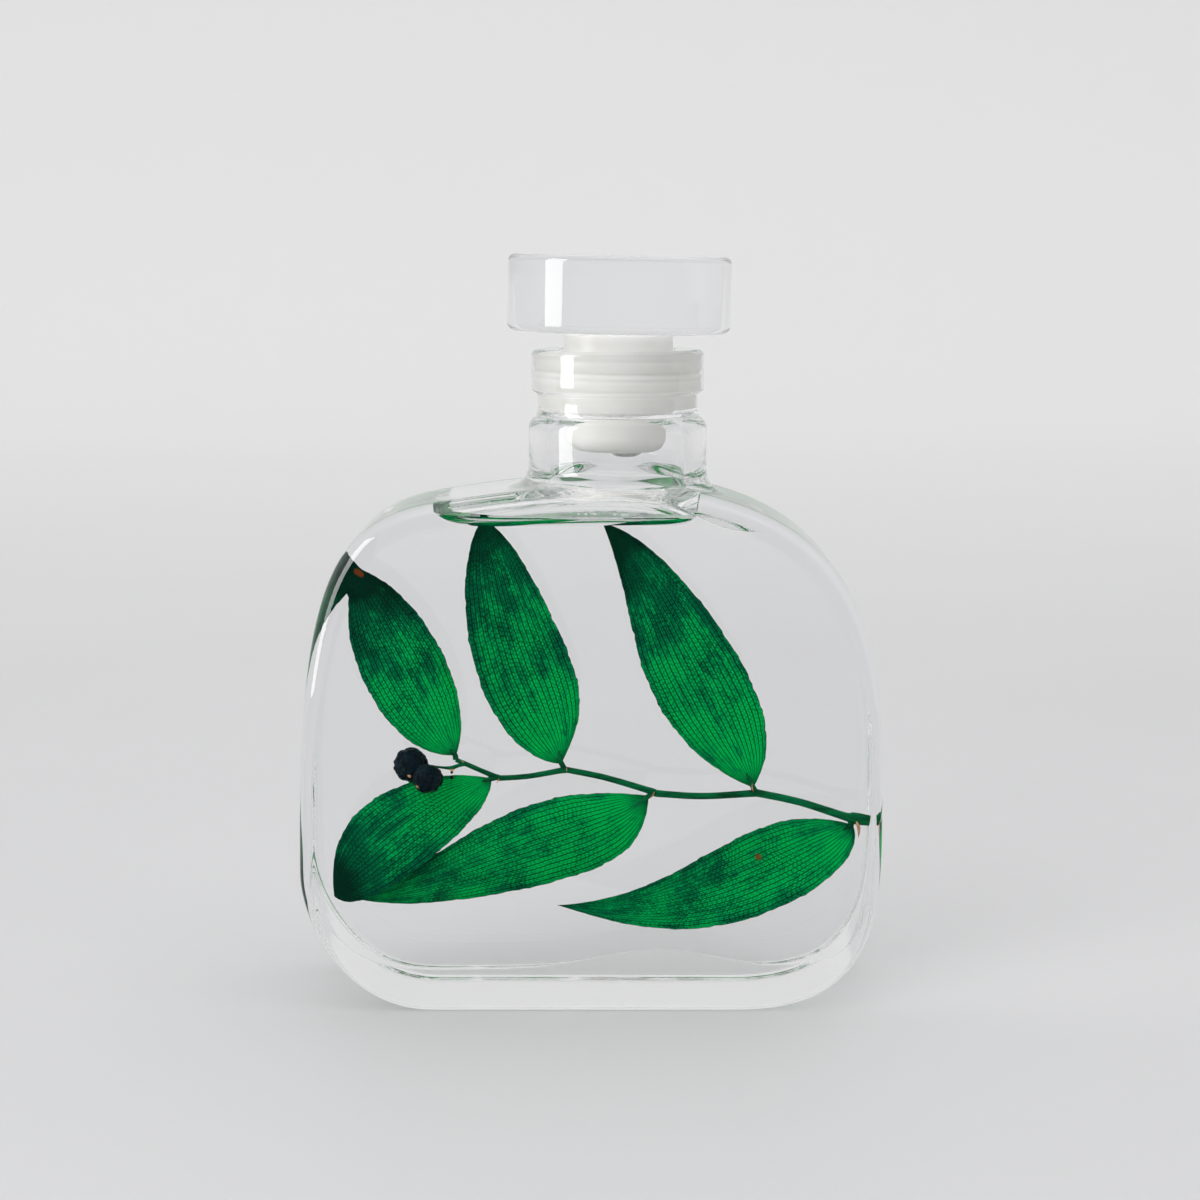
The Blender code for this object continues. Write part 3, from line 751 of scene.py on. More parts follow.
class BottleLooks(bpy.types.PropertyGroup):
    half_depth: size_setting(
        "Half depth", "Half of the body's depth, front to back", 17.0, min=0.001)
    rim_rounding: FloatVectorProperty(
        name="Rim rounding", size=4, unit="LENGTH", min=0.0005,
        description="Radius of the body's rims at the base, left, right and shoulders",
        default=(0.9 * MM, 2.2 * MM, 1.3 * MM, 4.0 * MM))
    inner_rounding: FloatVectorProperty(
        name="Inner rounding", size=4, unit="LENGTH", min=0.0003,
        description="Radius of the cavity's rims at the base, left, right and shoulders",
        default=(2.2 * MM, 1.1 * MM, 0.8 * MM, 1.8 * MM))
    side_wall: size_setting("Side wall", "Glass thickness at the ends", 0.7)
    face_wall: size_setting("Face wall", "Glass thickness at front and back", 2.4)
    top_wall: size_setting("Shoulder wall", "Glass thickness at the shoulders", 2.3)
    shoulder_extra: size_setting(
        "Right shoulder", "Extra glass in the right shoulder beside the neck", 2.3)
    base_wall: size_setting("Base wall", "Glass thickness at the base", 6.1)
    dome_height: size_setting("Floor dome", "How far the cavity's floor rises in the middle", 3.4)
    dome_x: size_setting("Dome place", "Where the floor's dome stands", 11.0)
    dome_spread: size_setting("Dome spread", "How far the floor's dome spreads", 14.0)
    neck_radius: size_setting("Neck radius", "Radius of the neck's outside", 14.4)
    groove_radius: size_setting("Groove radius", "Radius in the groove under the finish", 12.9)
    finish_radius: size_setting("Finish radius", "Radius of the band at the mouth", 13.95)
    neck_top: number_setting(
        "Neck top", "Height of the mouth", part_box("bottle")[1][2], unit="LENGTH")
    bore_radius: size_setting("Bore radius", "Radius of the stopper's seat", 9.25)
    lower_bore_radius: size_setting(
        "Lower bore radius", "Radius of the neck's inside under the seat", 10.9)
    glass_ior: number_setting("Glass index", "How strongly the glass bends light", 1.507)
    glass_tint: colour_setting("Glass tint", "Faint colour of the glass", (0.996, 0.998, 1.0))


class OilLooks(bpy.types.PropertyGroup):
    contact: number_setting("Contact height", "How high the oil climbs at the glass",
                            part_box("oil")[1][2], unit="LENGTH")
    climb: size_setting("Climb", "How far the oil rises above its level surface at the glass", 1.6)
    climb_reach: size_setting("Climb reach", "How far from the glass the climb dies away", 2.1)
    ior: number_setting("Oil index", "How strongly the oil bends light", 1.49)
    tint: colour_setting("Oil tint", "Faint colour of the oil", (0.998, 0.998, 1.0))


class SprigLooks(bpy.types.PropertyGroup):
    blade_thickness: size_setting("Leaf thickness", "Thickness of a leaf at its middle", 0.34)
    vein_height: size_setting("Vein height", "How far the long veins stand proud", 0.035)
    vein_count: IntProperty(
        name="Veins", description="Long veins across a leaf", default=17, min=3)
    leaf_glow: number_setting(
        "Leaf glow", "Share of light that comes through the leaf", 0.62, min=0.0, max=1.0)
    leaf_colour: colour_setting("Leaf", "Leaf colour between its veins", (0.001, 0.66, 0.170))
    leaf_shade: colour_setting("Leaf shade", "Darker patches of the leaf", (0.0005, 0.16, 0.066))
    vein_colour: colour_setting("Veins", "Colour of the veins", (0.0003, 0.025, 0.012))
    margin_colour: colour_setting("Margin", "Colour of the leaf's edge", (0.0005, 0.075, 0.045))
    tip_colour: colour_setting("Tip", "Colour of the leaf's tip", (0.001, 0.02, 0.012))
    foot_colour: colour_setting(
        "Foot", "Colour where the leaf joins its stalk", (0.001, 0.05, 0.02))
    mark_colour: colour_setting(
        "Mark", "Colour of the small marks on two leaves", (0.20, 0.05, 0.015))
    glow_colour: colour_setting(
        "Glow", "Colour of light that comes through a leaf", (0.001, 0.95, 0.22))
    stem_colour: colour_setting("Stem", "Stem colour", (0.002, 0.13, 0.042))
    stem_shade: colour_setting("Stem shade", "Darker streaks of the stem", (0.001, 0.035, 0.014))
    bract_colour: colour_setting(
        "Bract", "Colour of the dry scales at the joints", (0.62, 0.34, 0.17))
    bract_shade: colour_setting(
        "Bract shade", "Darker streaks of the dry scales", (0.30, 0.12, 0.05))


class BerryLooks(bpy.types.PropertyGroup):
    wrinkle: size_setting("Wrinkle depth", "Depth of the skin's wrinkles", 0.28)
    wrinkle_size: size_setting("Wrinkle size", "Distance between wrinkles", 1.5)
    seed: IntProperty(name="Seed", description="Picks the wrinkles' pattern", default=4)
    berry_colour: colour_setting("Berry", "Skin colour", (0.0025, 0.008, 0.012))
    bloom_colour: colour_setting("Bloom", "Waxy bloom on the skin", (0.005, 0.018, 0.026))
    scar_colour: colour_setting(
        "Scar", "Colour of the scars on berries and bud", (0.72, 0.40, 0.20))
    scar_shade: colour_setting("Scar shade", "Darker grains of the scars", (0.35, 0.12, 0.05))


class StopperLooks(bpy.types.PropertyGroup):
    tilt: angle_setting("Tilt", "How far the stopper sits out of square", 1.1)
    head_radius: size_setting("Disc radius", "Radius of the clear disc", 18.0)
    head_bottom: size_setting("Disc underside", "Height of the disc's underside", 108.0)
    head_top: size_setting("Disc top", "Height of the disc's top", 120.28)
    head_rounding: size_setting("Disc rounding", "Radius of the disc's edges", 1.1)
    collar_radius: size_setting("Collar radius", "Radius of the plug above the mouth", 8.85)
    rib_radius: size_setting("Rib radius", "Radius of the plug's sealing ribs", 9.0)
    tip_radius: size_setting("Tip radius", "Radius of the plug's tip", 8.0)
    drop_radius: size_setting(
        "Drop radius", "Radius of the oil drop that hangs under the plug", 2.6)
    disc_ior: number_setting("Disc index", "How strongly the disc bends light", 1.5)
    disc_tint: colour_setting("Disc tint", "Faint colour of the disc", (0.972, 0.976, 0.988))
    plug_colour: colour_setting("Plug", "Colour of the plug", (0.91, 0.905, 0.875))
    plug_shade: colour_setting("Plug shade", "Duller patches of the plug", (0.87, 0.86, 0.82))


class StageLooks(bpy.types.PropertyGroup):
    floor_colour: colour_setting("Floor", "Colour of the floor and backdrop", (0.66, 0.66, 0.67))
    floor_shade: colour_setting(
        "Floor shade", "Slightly duller patches of the floor", (0.635, 0.635, 0.645))
    back_colour: colour_setting(
        "Backdrop", "Colour of the backdrop far behind", (0.885, 0.885, 0.885))
    window_power: number_setting(
        "Window", "Power of the tall light that shows as strips on the glass", 2.6,
        min=0.0, unit="POWER")
    fill_power: number_setting(
        "Fill", "Power of the soft light on the left", 6.0, min=0.0, unit="POWER")
    top_power: number_setting(
        "Top light", "Power of the wide light overhead", 1.5, min=0.0, unit="POWER")
    sky_strength: number_setting(
        "Surroundings", "Brightness of the room's even light", 0.835, min=0.0)
    flags: number_setting(
        "Flags", "Share of the room's mirror image that the flags take out", 0.97,
        min=0.0, max=1.0)
    camera_distance: size_setting(
        "Camera distance", "How far in front of the bottle's middle the camera stands", 500.0)
    camera_height: size_setting("Camera height", "Height of the camera", 125.0)
    camera_side: size_setting("Camera side", "How far right of the middle the camera stands", 1.5)
    camera_pitch: angle_setting("Camera pitch", "How far down the camera looks", 6.92)
    field_angle: angle_setting("Field", "The camera's field of view", 22.0)


def inner_flask(looks):
    depth = (looks.half_depth - looks.face_wall) / MM
    return Flask(inner_outline(looks), depth, np.array(looks.inner_rounding) / MM,
                 looks.lower_bore_radius / MM, 3.2)


def cavity_rings(flask, level):
    """The cavity's skin bottom up: rings below the oil's contact line, the last one on it, and
    rings above it up to the bore."""
    spans = ((WET_ROWS, level), (DRY_ROWS, None))
    rings = flask.skin(*flask.net(AROUND, spans, math.radians(CAVITY_END)))
    rings[WET_ROWS, :, 2] = level
    return rings[:WET_ROWS + 1], rings[WET_ROWS + 1:]


def straight_down(flask):
    return flask.skin(np.zeros(1), np.zeros(1))[0]


class RUSCUS_OT_bottle(bpy.types.Operator):
    """Glass bottle: flat rounded body, neck with its groove and band, bore and cavity"""

    bl_idname = "ruscus.bottle"
    bl_label = "Glass bottle"

    def execute(self, context):
        looks = context.scene.ruscus_bottle
        oil = context.scene.ruscus_oil
        # Materials: 0 glass in air, 1 at the plug, 2 at the oil
        angles = np.arange(AROUND) * 2 * math.pi / AROUND
        outside = Flask(outline_points(), looks.half_depth / MM, np.array(looks.rim_rounding) / MM,
                        looks.neck_radius / MM, 3.6)
        skin = outside.skin(*outside.net(AROUND, ((OUTSIDE_ROWS, None),),
                                         math.radians(OUTSIDE_END)))
        cavity = inner_flask(looks)
        wetted, dry = cavity_rings(cavity, oil.contact / MM)
        seat, lower = bore_profile(looks)
        rings = (skin, circles(outer_neck(looks), angles), circles(seat, angles),
                 circles(lower, angles), dry[::-1], wetted[::-1])
        slots = (0, 0, 1, 0, 0, 2)
        row_slots = np.concatenate([np.full(len(part), slot) for part, slot in zip(rings, slots)])
        face_slots = np.repeat((slots[0], *row_slots[1:], slots[-1]), AROUND)
        tint = looks.glass_tint
        glass = clear_material("bottle_glass", looks.glass_ior, tint)
        seated = clear_material("bottle_glass_at_plug", 1.0, tint)
        wet = clear_material("bottle_glass_at_oil", looks.glass_ior / oil.ior, tint)
        bottle = closed_piece("glass_bottle", straight_down(outside), np.concatenate(rings),
                              straight_down(cavity), (glass, seated, wet), face_slots)
        finished(bottle, "bottle")
        return {"FINISHED"}


class RUSCUS_OT_oil(bpy.types.Operator):
    """Oil: fills the cavity a hair inside the glass and climbs a little at the walls"""

    bl_idname = "ruscus.oil"
    bl_label = "Oil"

    def execute(self, context):
        looks = context.scene.ruscus_oil
        cavity = inner_flask(context.scene.ruscus_bottle)
        wetted, _ = cavity_rings(cavity, looks.contact / MM)
        reach = wetted - HEART
        wetted = wetted - reach * (OIL_GAP / np.linalg.norm(reach, axis=-1))[..., None]
        rim = wetted[-1]
        middle = np.array((NECK_X, 0.0, 0.0))
        shrink = 1.0 - np.concatenate((np.linspace(0.0, 0.3, 19)[1:],
                                       np.linspace(0.3, 1.0, 15)[1:-1]))
        span = np.linalg.norm(rim[:, :2] - middle[:2], axis=1)
        surface = []
        for share in shrink:
            ring = middle + (rim - middle) * share
            away = (1.0 - share) * span
            drop = looks.climb / MM * (1.0 - np.exp(-away / (looks.climb_reach / MM)))
            ring[:, 2] = rim[:, 2] - drop
            surface.append(ring)
        top = middle.copy()
        top[2] = rim[0, 2] - looks.climb / MM
        foot = straight_down(cavity)
        foot[2] += OIL_GAP
        rings = np.concatenate((wetted, np.array(surface)))
        # Materials: 0 at the glass, 1 on the free surface
        face_slots = np.repeat((0, 1), (len(wetted) * AROUND, (len(surface) + 1) * AROUND))
        at_glass = clear_material("oil_at_glass", 1.0, looks.tint, shade=0.97)
        free = clear_material("oil_surface", looks.ior, looks.tint, shade=0.97)
        item = closed_piece("clear_oil", foot, rings, top, (at_glass, free), face_slots)
        finished(item, "oil")
        return {"FINISHED"}


def edge_points(leaf, edge, t):
    """Points on the smooth curve of five control points that gives one edge of a leaf."""
    controls = (leaf["base"], *leaf[edge], leaf["tip"])
    return sum(math.comb(4, order) * (1 - t[:, None]) ** (4 - order) * t[:, None] ** order
               * np.array(control) for order, control in enumerate(controls))


def leaf_surface(leaf, along, across):
    """The leaf's middle surface: rows run base to tip, columns across from -1 to 1."""
    edge_a = edge_points(leaf, "edge_a", along)
    edge_b = edge_points(leaf, "edge_b", along)
    middle = (edge_a + edge_b) / 2
    half = (edge_b - edge_a) / 2
    nicks = sum(height * np.sin(along * pace + leaf["lean"] * pace) for height, pace in EDGE_NICKS)
    spread_out = across * (1 + nicks[:, None] * across ** 4 * np.sign(across + 0.2))
    flat = middle[:, None] + half[:, None] * spread_out[..., None]
    swell = np.sin(math.pi * along)[:, None]
    ripple = leaf["wave"] * np.sin(along * 19.0)[:, None] * np.sign(across) * across ** 4
    depth = leaf["lean"] * along[:, None] ** 1.5 + swell * (
        leaf["cup"] * across ** 2 + leaf["roll"] * across + ripple)
    return np.stack((flat[..., 0], depth, flat[..., 1]), axis=-1)


def leaf_skin(leaf, looks, rows=98, columns=68):
    """A closed leaf: rings of points round its front and back, thinning towards its edges."""
    along = (1 - np.cos(math.pi * (np.arange(rows) + 0.5) / rows)) / 2
    quarter = math.pi / 2
    across = np.sin(np.linspace(-1, 1, columns + 1) * quarter * 0.94) / math.sin(quarter * 0.94)
    surface = leaf_surface(leaf, along, across)
    lengthways = np.gradient(surface, axis=0)
    crossways = np.gradient(surface, axis=1)
    normal = np.cross(lengthways, crossways)
    normal /= np.linalg.norm(normal, axis=-1)[..., None]
    thin = 1 - across ** 6
    swell = np.sin(math.pi * along) ** 0.5
    half = looks.blade_thickness / MM / 2 * thin * (0.5 + 0.5 * swell)[:, None]
    ridge = looks.vein_height / MM * np.cos((across + 1) / 2 * looks.vein_count * 2 * math.pi)
    raised = half + np.maximum(ridge, 0.0) * thin * swell[:, None]
    front = surface + normal * raised[..., None]
    back = surface - normal * raised[..., None]
    loop = np.concatenate((front, back[:, -2:0:-1]), axis=1)
    side = np.concatenate((across, across[-2:0:-1])) / 2 + 0.5
    steps = np.linalg.norm(np.diff(surface[:, columns // 2], axis=0), axis=-1)
    run = np.concatenate(((0.0,), np.cumsum(steps)))
    base = surface[0].mean(axis=0)
    tip = surface[-1].mean(axis=0)
    return loop, base, tip, side, run, along


class RUSCUS_OT_leaves(bpy.types.Operator):
    """Six leaves, each a thin closed blade with raised veins"""

    bl_idname = "ruscus.leaves"
    bl_label = "Leaves"

    def execute(self, context):
        looks = context.scene.ruscus_sprig
        points, faces, uv, reach, dusk = [], [], [], [], []
        start = 0
        for leaf in LEAVES.values():
            loop, base, tip, side, run, along = leaf_skin(leaf, looks)
            skin = poled(base, loop, tip)
            blade_faces = ring_faces(len(loop), loop.shape[1], start)
            points.append(skin)
            faces += blade_faces
            start += len(skin)
            run = run / LEAF_UNIT
            place = np.stack(np.broadcast_arrays(side[None, :], run[:, None]), axis=-1)
            uv.append(np.concatenate((((0.5, 0.0),), place.reshape(-1, 2), ((0.5, run[-1]),))))
            reach.append(np.concatenate(((0.0,), np.repeat(along, loop.shape[1]), (1.0,))))
            dusk.append(np.full(len(skin), leaf["dusk"]))
        item = piece_from_points("ruscus_leaves", np.concatenate(points), faces,
                                 (leaf_material(looks),))
        mesh = item.data
        corners = np.zeros(len(mesh.loops), dtype=int)
        mesh.loops.foreach_get("vertex_index", corners)
        layer = mesh.uv_layers.new(name="leaf")
        layer.uv.foreach_set("vector", np.concatenate(uv)[corners].astype(np.float32).ravel())
        for title, values in (("reach", reach), ("dusk", dusk)):
            share = mesh.attributes.new(title, "FLOAT", "POINT")
            share.data.foreach_set("value", np.concatenate(values).astype(np.float32))
        face_outwards(mesh)
        finished(item, "ruscus_spray")
        return {"FINISHED"}


def face_outwards(mesh):
    shape = bmesh.new()
    shape.from_mesh(mesh)
    bmesh.ops.recalc_face_normals(shape, faces=shape.faces)
    shape.to_mesh(mesh)
    shape.free()


def geometry_tree(name, inputs):
    """A geometry node tree with named inputs; gives its sheet and the links of its inputs."""
    tree = bpy.data.node_groups.new(name, "GeometryNodeTree")
    tree.interface.new_socket("Geometry", in_out="OUTPUT", socket_type="NodeSocketGeometry")
    tree.interface.new_socket("Geometry", in_out="INPUT", socket_type="NodeSocketGeometry")
    for title, (kind, default) in inputs.items():
        socket = tree.interface.new_socket(title, in_out="INPUT", socket_type=kind)
        if default is not None:
            socket.default_value = default
    sheet = Sheet(tree)
    entry = sheet.node("NodeGroupInput").socket.node
    return sheet, {title: Link(sheet, entry.outputs[title]) for title in ("Geometry", *inputs)}


def raised_skin(sheet, geometry, height):
    """Moves the skin outwards by a height."""
    lift = sheet.vector("SCALE", sheet.node("GeometryNodeInputNormal"), height)
    return sheet.node("GeometryNodeSetPosition", values={"Geometry": geometry, "Offset": lift})


def set_on_points(sheet, points, shape, **turn):
    """Sets a copy of a shape on each point, at the point's own size."""
    size = sheet.node("GeometryNodeInputNamedAttribute", {"data_type": "FLOAT"}, {"Name": "size"})
    return sheet.node("GeometryNodeInstanceOnPoints", values={
        "Points": points, "Instance": shape, "Scale": size, **turn})


def close_tree(sheet, geometry, material):
    """Ends a tree: its instances are made real and take their material."""
    real = sheet.node("GeometryNodeRealizeInstances", values={0: geometry})
    painted = sheet.node("GeometryNodeSetMaterial", values={
        "Geometry": real, "Material": material})
    sheet.node("NodeGroupOutput", values={0: painted})
    return sheet.tree


def grown(item, tree, **sizes):
    """Runs a geometry node tree on an object and keeps the result as a plain mesh."""
    modifier = item.modifiers.new(tree.name, "NODES")
    modifier.node_group = tree
    for socket in tree.interface.items_tree:
        if socket.in_out == "INPUT" and socket.name in sizes:
            modifier[socket.identifier] = sizes[socket.name]
    bpy.context.view_layer.update()
    evaluated = item.evaluated_get(bpy.context.evaluated_depsgraph_get())
    mesh = bpy.data.meshes.new_from_object(evaluated)
    name = item.name
    bpy.data.objects.remove(item, do_unlink=True)
    mesh.name = name
    mesh.shade_smooth()
    return new_object(name, mesh)


def path_object(name, lines):
    """A curve object whose smooth splines follow lines of x, y, z and radius."""
    curve = bpy.data.curves.new(name, "CURVE")
    curve.dimensions = "3D"
    for line in lines:
        spline = curve.splines.new("POLY")
        spline.points.add(len(line) - 1)
        for point, (x, y, z, radius) in zip(spline.points, line):
            point.co = (x * MM, y * MM, z * MM, 1.0)
            point.radius = radius
    return new_object(name, curve)


def softened(line, steps=6):
    """The line with its corners rounded, by a curve through its points."""
    line = np.array(line)
    padded = np.concatenate((line[:1] * 2 - line[1:2], line, line[-1:] * 2 - line[-2:-1]))
    points = []
    for index in range(1, len(padded) - 2):
        a, b, c, d = padded[index - 1:index + 3]
        for t in np.arange(steps) / steps:
            points.append(0.5 * (2 * b + (c - a) * t + (2 * a - 5 * b + 4 * c - d) * t ** 2
                                 + (3 * b - a - 3 * c + d) * t ** 3))
    points.append(line[-1])
    return points


def ridged_tube_tree():
    """Sweeps a round section along curves, then raises fine ridges that run lengthways."""
    sheet, given = geometry_tree("ridged_tube", {
        "Sides": ("NodeSocketInt", 20), "Ridge Height": ("NodeSocketFloat", 0.00003),
        "Ridge Size": ("NodeSocketFloat", 0.0005), "Material": ("NodeSocketMaterial", None)})
    ring = sheet.node("GeometryNodeCurvePrimitiveCircle",
                      values={"Resolution": given["Sides"], "Radius": MM})
    radius = sheet.node("GeometryNodeInputRadius")
    swept = sheet.node("GeometryNodeCurveToMesh", values={
        "Curve": given["Geometry"], "Profile Curve": ring, "Fill Caps": True, "Scale": radius})
    place = sheet.node("GeometryNodeInputPosition")
    lumps = sheet.node("ShaderNodeTexNoise", values={
        "Vector": sheet.vector("MULTIPLY", place, (0.12, 1.0, 1.0)),
        "Scale": 1.0 / given["Ridge Size"], "Detail": 1.0})
    raised = raised_skin(sheet, swept, (lumps - 0.5) * given["Ridge Height"] * 2.0)
    return close_tree(sheet, raised, given["Material"])


class RUSCUS_OT_stem(bpy.types.Operator):
    """Zig-zag stem, leaf stalks and fruit stalk, swept along their paths"""

    bl_idname = "ruscus.stem"
    bl_label = "Stem"

    def execute(self, context):
        looks = context.scene.ruscus_sprig
        lines = [softened(STEM), softened(FRUIT_STALK)]
        for leaf in LEAVES.values():
            x, z = leaf["joint"]
            path = leaf_surface(leaf, np.array((0.01, 0.035, 0.07)), np.zeros(1))[:, 0]
            start = ((x, 0.0, z, 0.46),)
            stalk = [(*point, radius) for point, radius in zip(path, (0.42, 0.34, 0.15))]
            lines.append(softened((*start, *stalk)))
        tree = ridged_tube_tree()
        stem = grown(path_object("ruscus_stem", lines), tree, **{
            "Sides": 20, "Ridge Height": 0.06 * MM, "Ridge Size": 0.45 * MM,
            "Material": stem_material(looks)})
        finished(stem, "ruscus_spray")
        return {"FINISHED"}


def scale_leaf(name, rows=9, sides=12):
    """A small pointed scale along X, one unit long, closed."""
    t = (np.arange(rows) + 0.5) / rows
    width = 0.26 * np.sin(math.pi * t ** 0.6) + 0.01
    turn = np.linspace(0, 2 * math.pi, sides, endpoint=False)
    rings = np.stack(np.broadcast_arrays(
        t[:, None], width[:, None] * np.cos(turn)[None, :],
        0.10 * np.sin(math.pi * t)[:, None] + 0.35 * width[:, None] * np.sin(turn)[None, :]),
        axis=-1)
    item = closed_piece(name, np.zeros(3), rings / MM, np.array((1.0 / MM, 0.0, 0.0)))
    face_outwards(item.data)
    return item


def lens(name, rows=6, sides=16):
    """A small round lens, one unit across, closed, with an uneven rim."""
    t = np.linspace(-1.0, 1.0, rows * 2 + 1)[1:-1]
    turn = np.linspace(0, 2 * math.pi, sides, endpoint=False)
    rim = 1 + 0.10 * np.sin(3 * turn) + 0.06 * np.cos(5 * turn)
    radius = 0.5 * np.sqrt(1 - t ** 2)[:, None] * rim
    rings = np.stack(np.broadcast_arrays(
        radius * np.cos(turn), radius * np.sin(turn), 0.14 * t[:, None]), axis=-1)
    head = np.array((0.0, 0.0, 0.14)) / MM
    return closed_piece(name, -head, rings / MM, head)


def scatter_tree():
    """Sets a copy of a small shape on each point, turned and sized by the point's own values."""
    sheet, given = geometry_tree("set_on_joints", {
        "Shape": ("NodeSocketObject", None), "Material": ("NodeSocketMaterial", None)})
    shape = sheet.node("GeometryNodeObjectInfo", values={"Object": given["Shape"]},
                       output="Geometry")
    turn = sheet.node("GeometryNodeInputNamedAttribute", {"data_type": "FLOAT_VECTOR"},
                      {"Name": "turn"})
    turned = sheet.node("FunctionNodeEulerToRotation", values={0: turn})
    placed = set_on_points(sheet, given["Geometry"], shape, Rotation=turned)
    return close_tree(sheet, placed, given["Material"])


def point_object(name, points, **attributes):
    mesh = bpy.data.meshes.new(name)
    mesh.from_pydata([tuple(value * MM for value in point) for point in points], [], [])
    for title, values in attributes.items():
        vector = hasattr(values[0], "__len__")
        made = mesh.attributes.new(title, "FLOAT_VECTOR" if vector else "FLOAT", "POINT")
        made.data.foreach_set("vector" if vector else "value",
                              np.array(values, dtype=np.float32).ravel())
    return new_object(name, mesh)


def scattered(name, rows, turns, shape, material):
    """Copies of a small shape at rows that begin with x, y and z and end with the size."""
    points = point_object(name, [row[:3] for row in rows],
                          turn=[tuple(turn.to_euler()) for turn in turns],
                          size=[row[4] * MM for row in rows])
    item = grown(points, scatter_tree(), Shape=shape, Material=material)
    bpy.data.objects.remove(shape, do_unlink=True)
    return item


class RUSCUS_OT_bracts(bpy.types.Operator):
    """Dry tan scales at the joints of the stem"""

    bl_idname = "ruscus.bracts"
    bl_label = "Bracts"

    def execute(self, context):
        looks = context.scene.ruscus_sprig
        turns = [Matrix.Rotation(-math.radians(row[3]), 3, "Y") for row in BRACTS]
        bracts = scattered("ruscus_bracts", BRACTS, turns, scale_leaf("scale_shape"),
                           bract_material(looks))
        finished(bracts, "ruscus_spray")
        return {"FINISHED"}


def berry_tree():
    """Round berries on points, grown into one another, with wrinkled skins."""
    sheet, given = geometry_tree("wrinkled_berries", {
        "Wrinkle Depth": ("NodeSocketFloat", 0.0003), "Wrinkle Size": ("NodeSocketFloat", 0.0015),
        "Seed": ("NodeSocketInt", 0), "Material": ("NodeSocketMaterial", None)})
    ball = sheet.node("GeometryNodeMeshIcoSphere", values={"Radius": 1.0, "Subdivisions": 6})
    placed = set_on_points(sheet, given["Geometry"], ball)
    real = sheet.node("GeometryNodeRealizeInstances", values={0: placed})
    values = {"Scale": 1.0 / given["Wrinkle Size"], "Detail": 2.0, "W": given["Seed"]}
    lumps = sheet.node("ShaderNodeTexNoise", {"noise_dimensions": "4D"}, values)
    crease = abs(lumps - 0.5) * 2.0
    raised = raised_skin(sheet, real, (crease.at_most(0.35) - 0.35) * given["Wrinkle Depth"] * 2.8)
    return close_tree(sheet, raised, given["Material"])


class RUSCUS_OT_berries(bpy.types.Operator):
    """Two dark wrinkled berries with their tan scars, and the bud on the fruit stalk"""

    bl_idname = "ruscus.berries"
    bl_label = "Berries"

    def execute(self, context):
        looks = context.scene.ruscus_berry
        points = point_object("dark_berries", [row[:3] for row in BERRIES],
                              size=[row[3] * MM for row in BERRIES])
        berries = grown(points, berry_tree(), **{
            "Wrinkle Depth": looks.wrinkle, "Wrinkle Size": looks.wrinkle_size,
            "Seed": looks.seed, "Material": berry_material(looks)})
        finished(berries, "ruscus_berries")
        turns = [Vector(row[3]).to_track_quat("Z", "Y") for row in SCARS]
        scars = scattered("berry_scars", SCARS, turns, lens("lens_shape"), scar_material(looks))
        finished(scars, "ruscus_berries")
        return {"FINISHED"}


def stopper_place(looks, bottle):
    """The stopper's tilt about the middle of its seat."""
    seat = Vector((NECK_X * MM, 0.0, (bottle.neck_top + SEAT_FOOT * MM) / 2))
    return (Matrix.Translation(seat) @ Matrix.Rotation(looks.tilt, 4, "Y")
            @ Matrix.Translation((-seat.x, 0.0, -seat.z)))


def turned_piece(name, profile, materials, looks, bottle, steps=128):
    """A solid of revolution about the neck's axis, bottom up, tipped as the stopper is."""
    angles = np.linspace(0, 2 * math.pi, steps, endpoint=False)
    rings = circles(profile[1:-1], angles)
    foot = np.array((NECK_X, 0.0, profile[0][1]))
    head = np.array((NECK_X, 0.0, profile[-1][1]))
    item = closed_piece(name, foot, rings, head, materials)
    item.data.transform(stopper_place(looks, bottle))
    return item


class RUSCUS_OT_plug(bpy.types.Operator):
    """White plug: collar, sealing ribs, step and rounded tip"""

    bl_idname = "ruscus.plug"
    bl_label = "Plug"

    def execute(self, context):
        looks = context.scene.ruscus_stopper
        rib = looks.rib_radius / MM
        tip = looks.tip_radius / MM
        collar = looks.collar_radius / MM
        profile = [(0.0, PLUG_BOTTOM + 0.05), (1.5, PLUG_BOTTOM + 0.02), (3.5, PLUG_BOTTOM)]
        profile += arc(tip - 2.6, PLUG_BOTTOM + 2.6, 2.6, -90.0, 0.0, 12)
        profile += [(tip, 92.5), (tip, 93.8), (tip, 94.4)]
        profile += arc(rib - 0.5, 95.3, 0.5, -60.0, 0.0, 4)
        profile += [(rib, 96.4), (rib, 97.4)]
        for height, depth in PLUG_GROOVES:
            profile += [(rib - depth * share, height + away) for away, share in GROOVE_SHAPE]
        profile += [(rib, 104.8), (collar, 105.2), (collar, 106.4), (collar, 107.3)]
        profile += [(collar - 0.1, 107.55), (collar - 0.35, 107.7), (4.0, 107.7), (0.0, 107.7)]
        plug = turned_piece("white_plug", profile, (plug_material(looks),), looks,
                            context.scene.ruscus_bottle)
        finished(plug, "stopper_plug")
        reach = looks.drop_radius / MM
        drop = [(0.0, 87.6), (0.5, 87.62), (1.1, 87.7), (1.7, 87.88), (2.2, 88.16), (2.5, 88.42),
                (2.6, 88.56), (2.55, 88.64), (2.0, 88.66), (0.0, 88.66)]
        drop = [(r * reach / 2.6, z) for r, z in drop]
        oil = context.scene.ruscus_oil
        drop = turned_piece("hanging_drop", drop,
                            (clear_material("oil_drop", oil.ior, oil.tint),), looks,
                            context.scene.ruscus_bottle, 48)
        drop.data.transform(Matrix.Translation((1.5 * MM, -1.6 * MM, 0.0)))
        finished(drop, "stopper_plug")
        return {"FINISHED"}


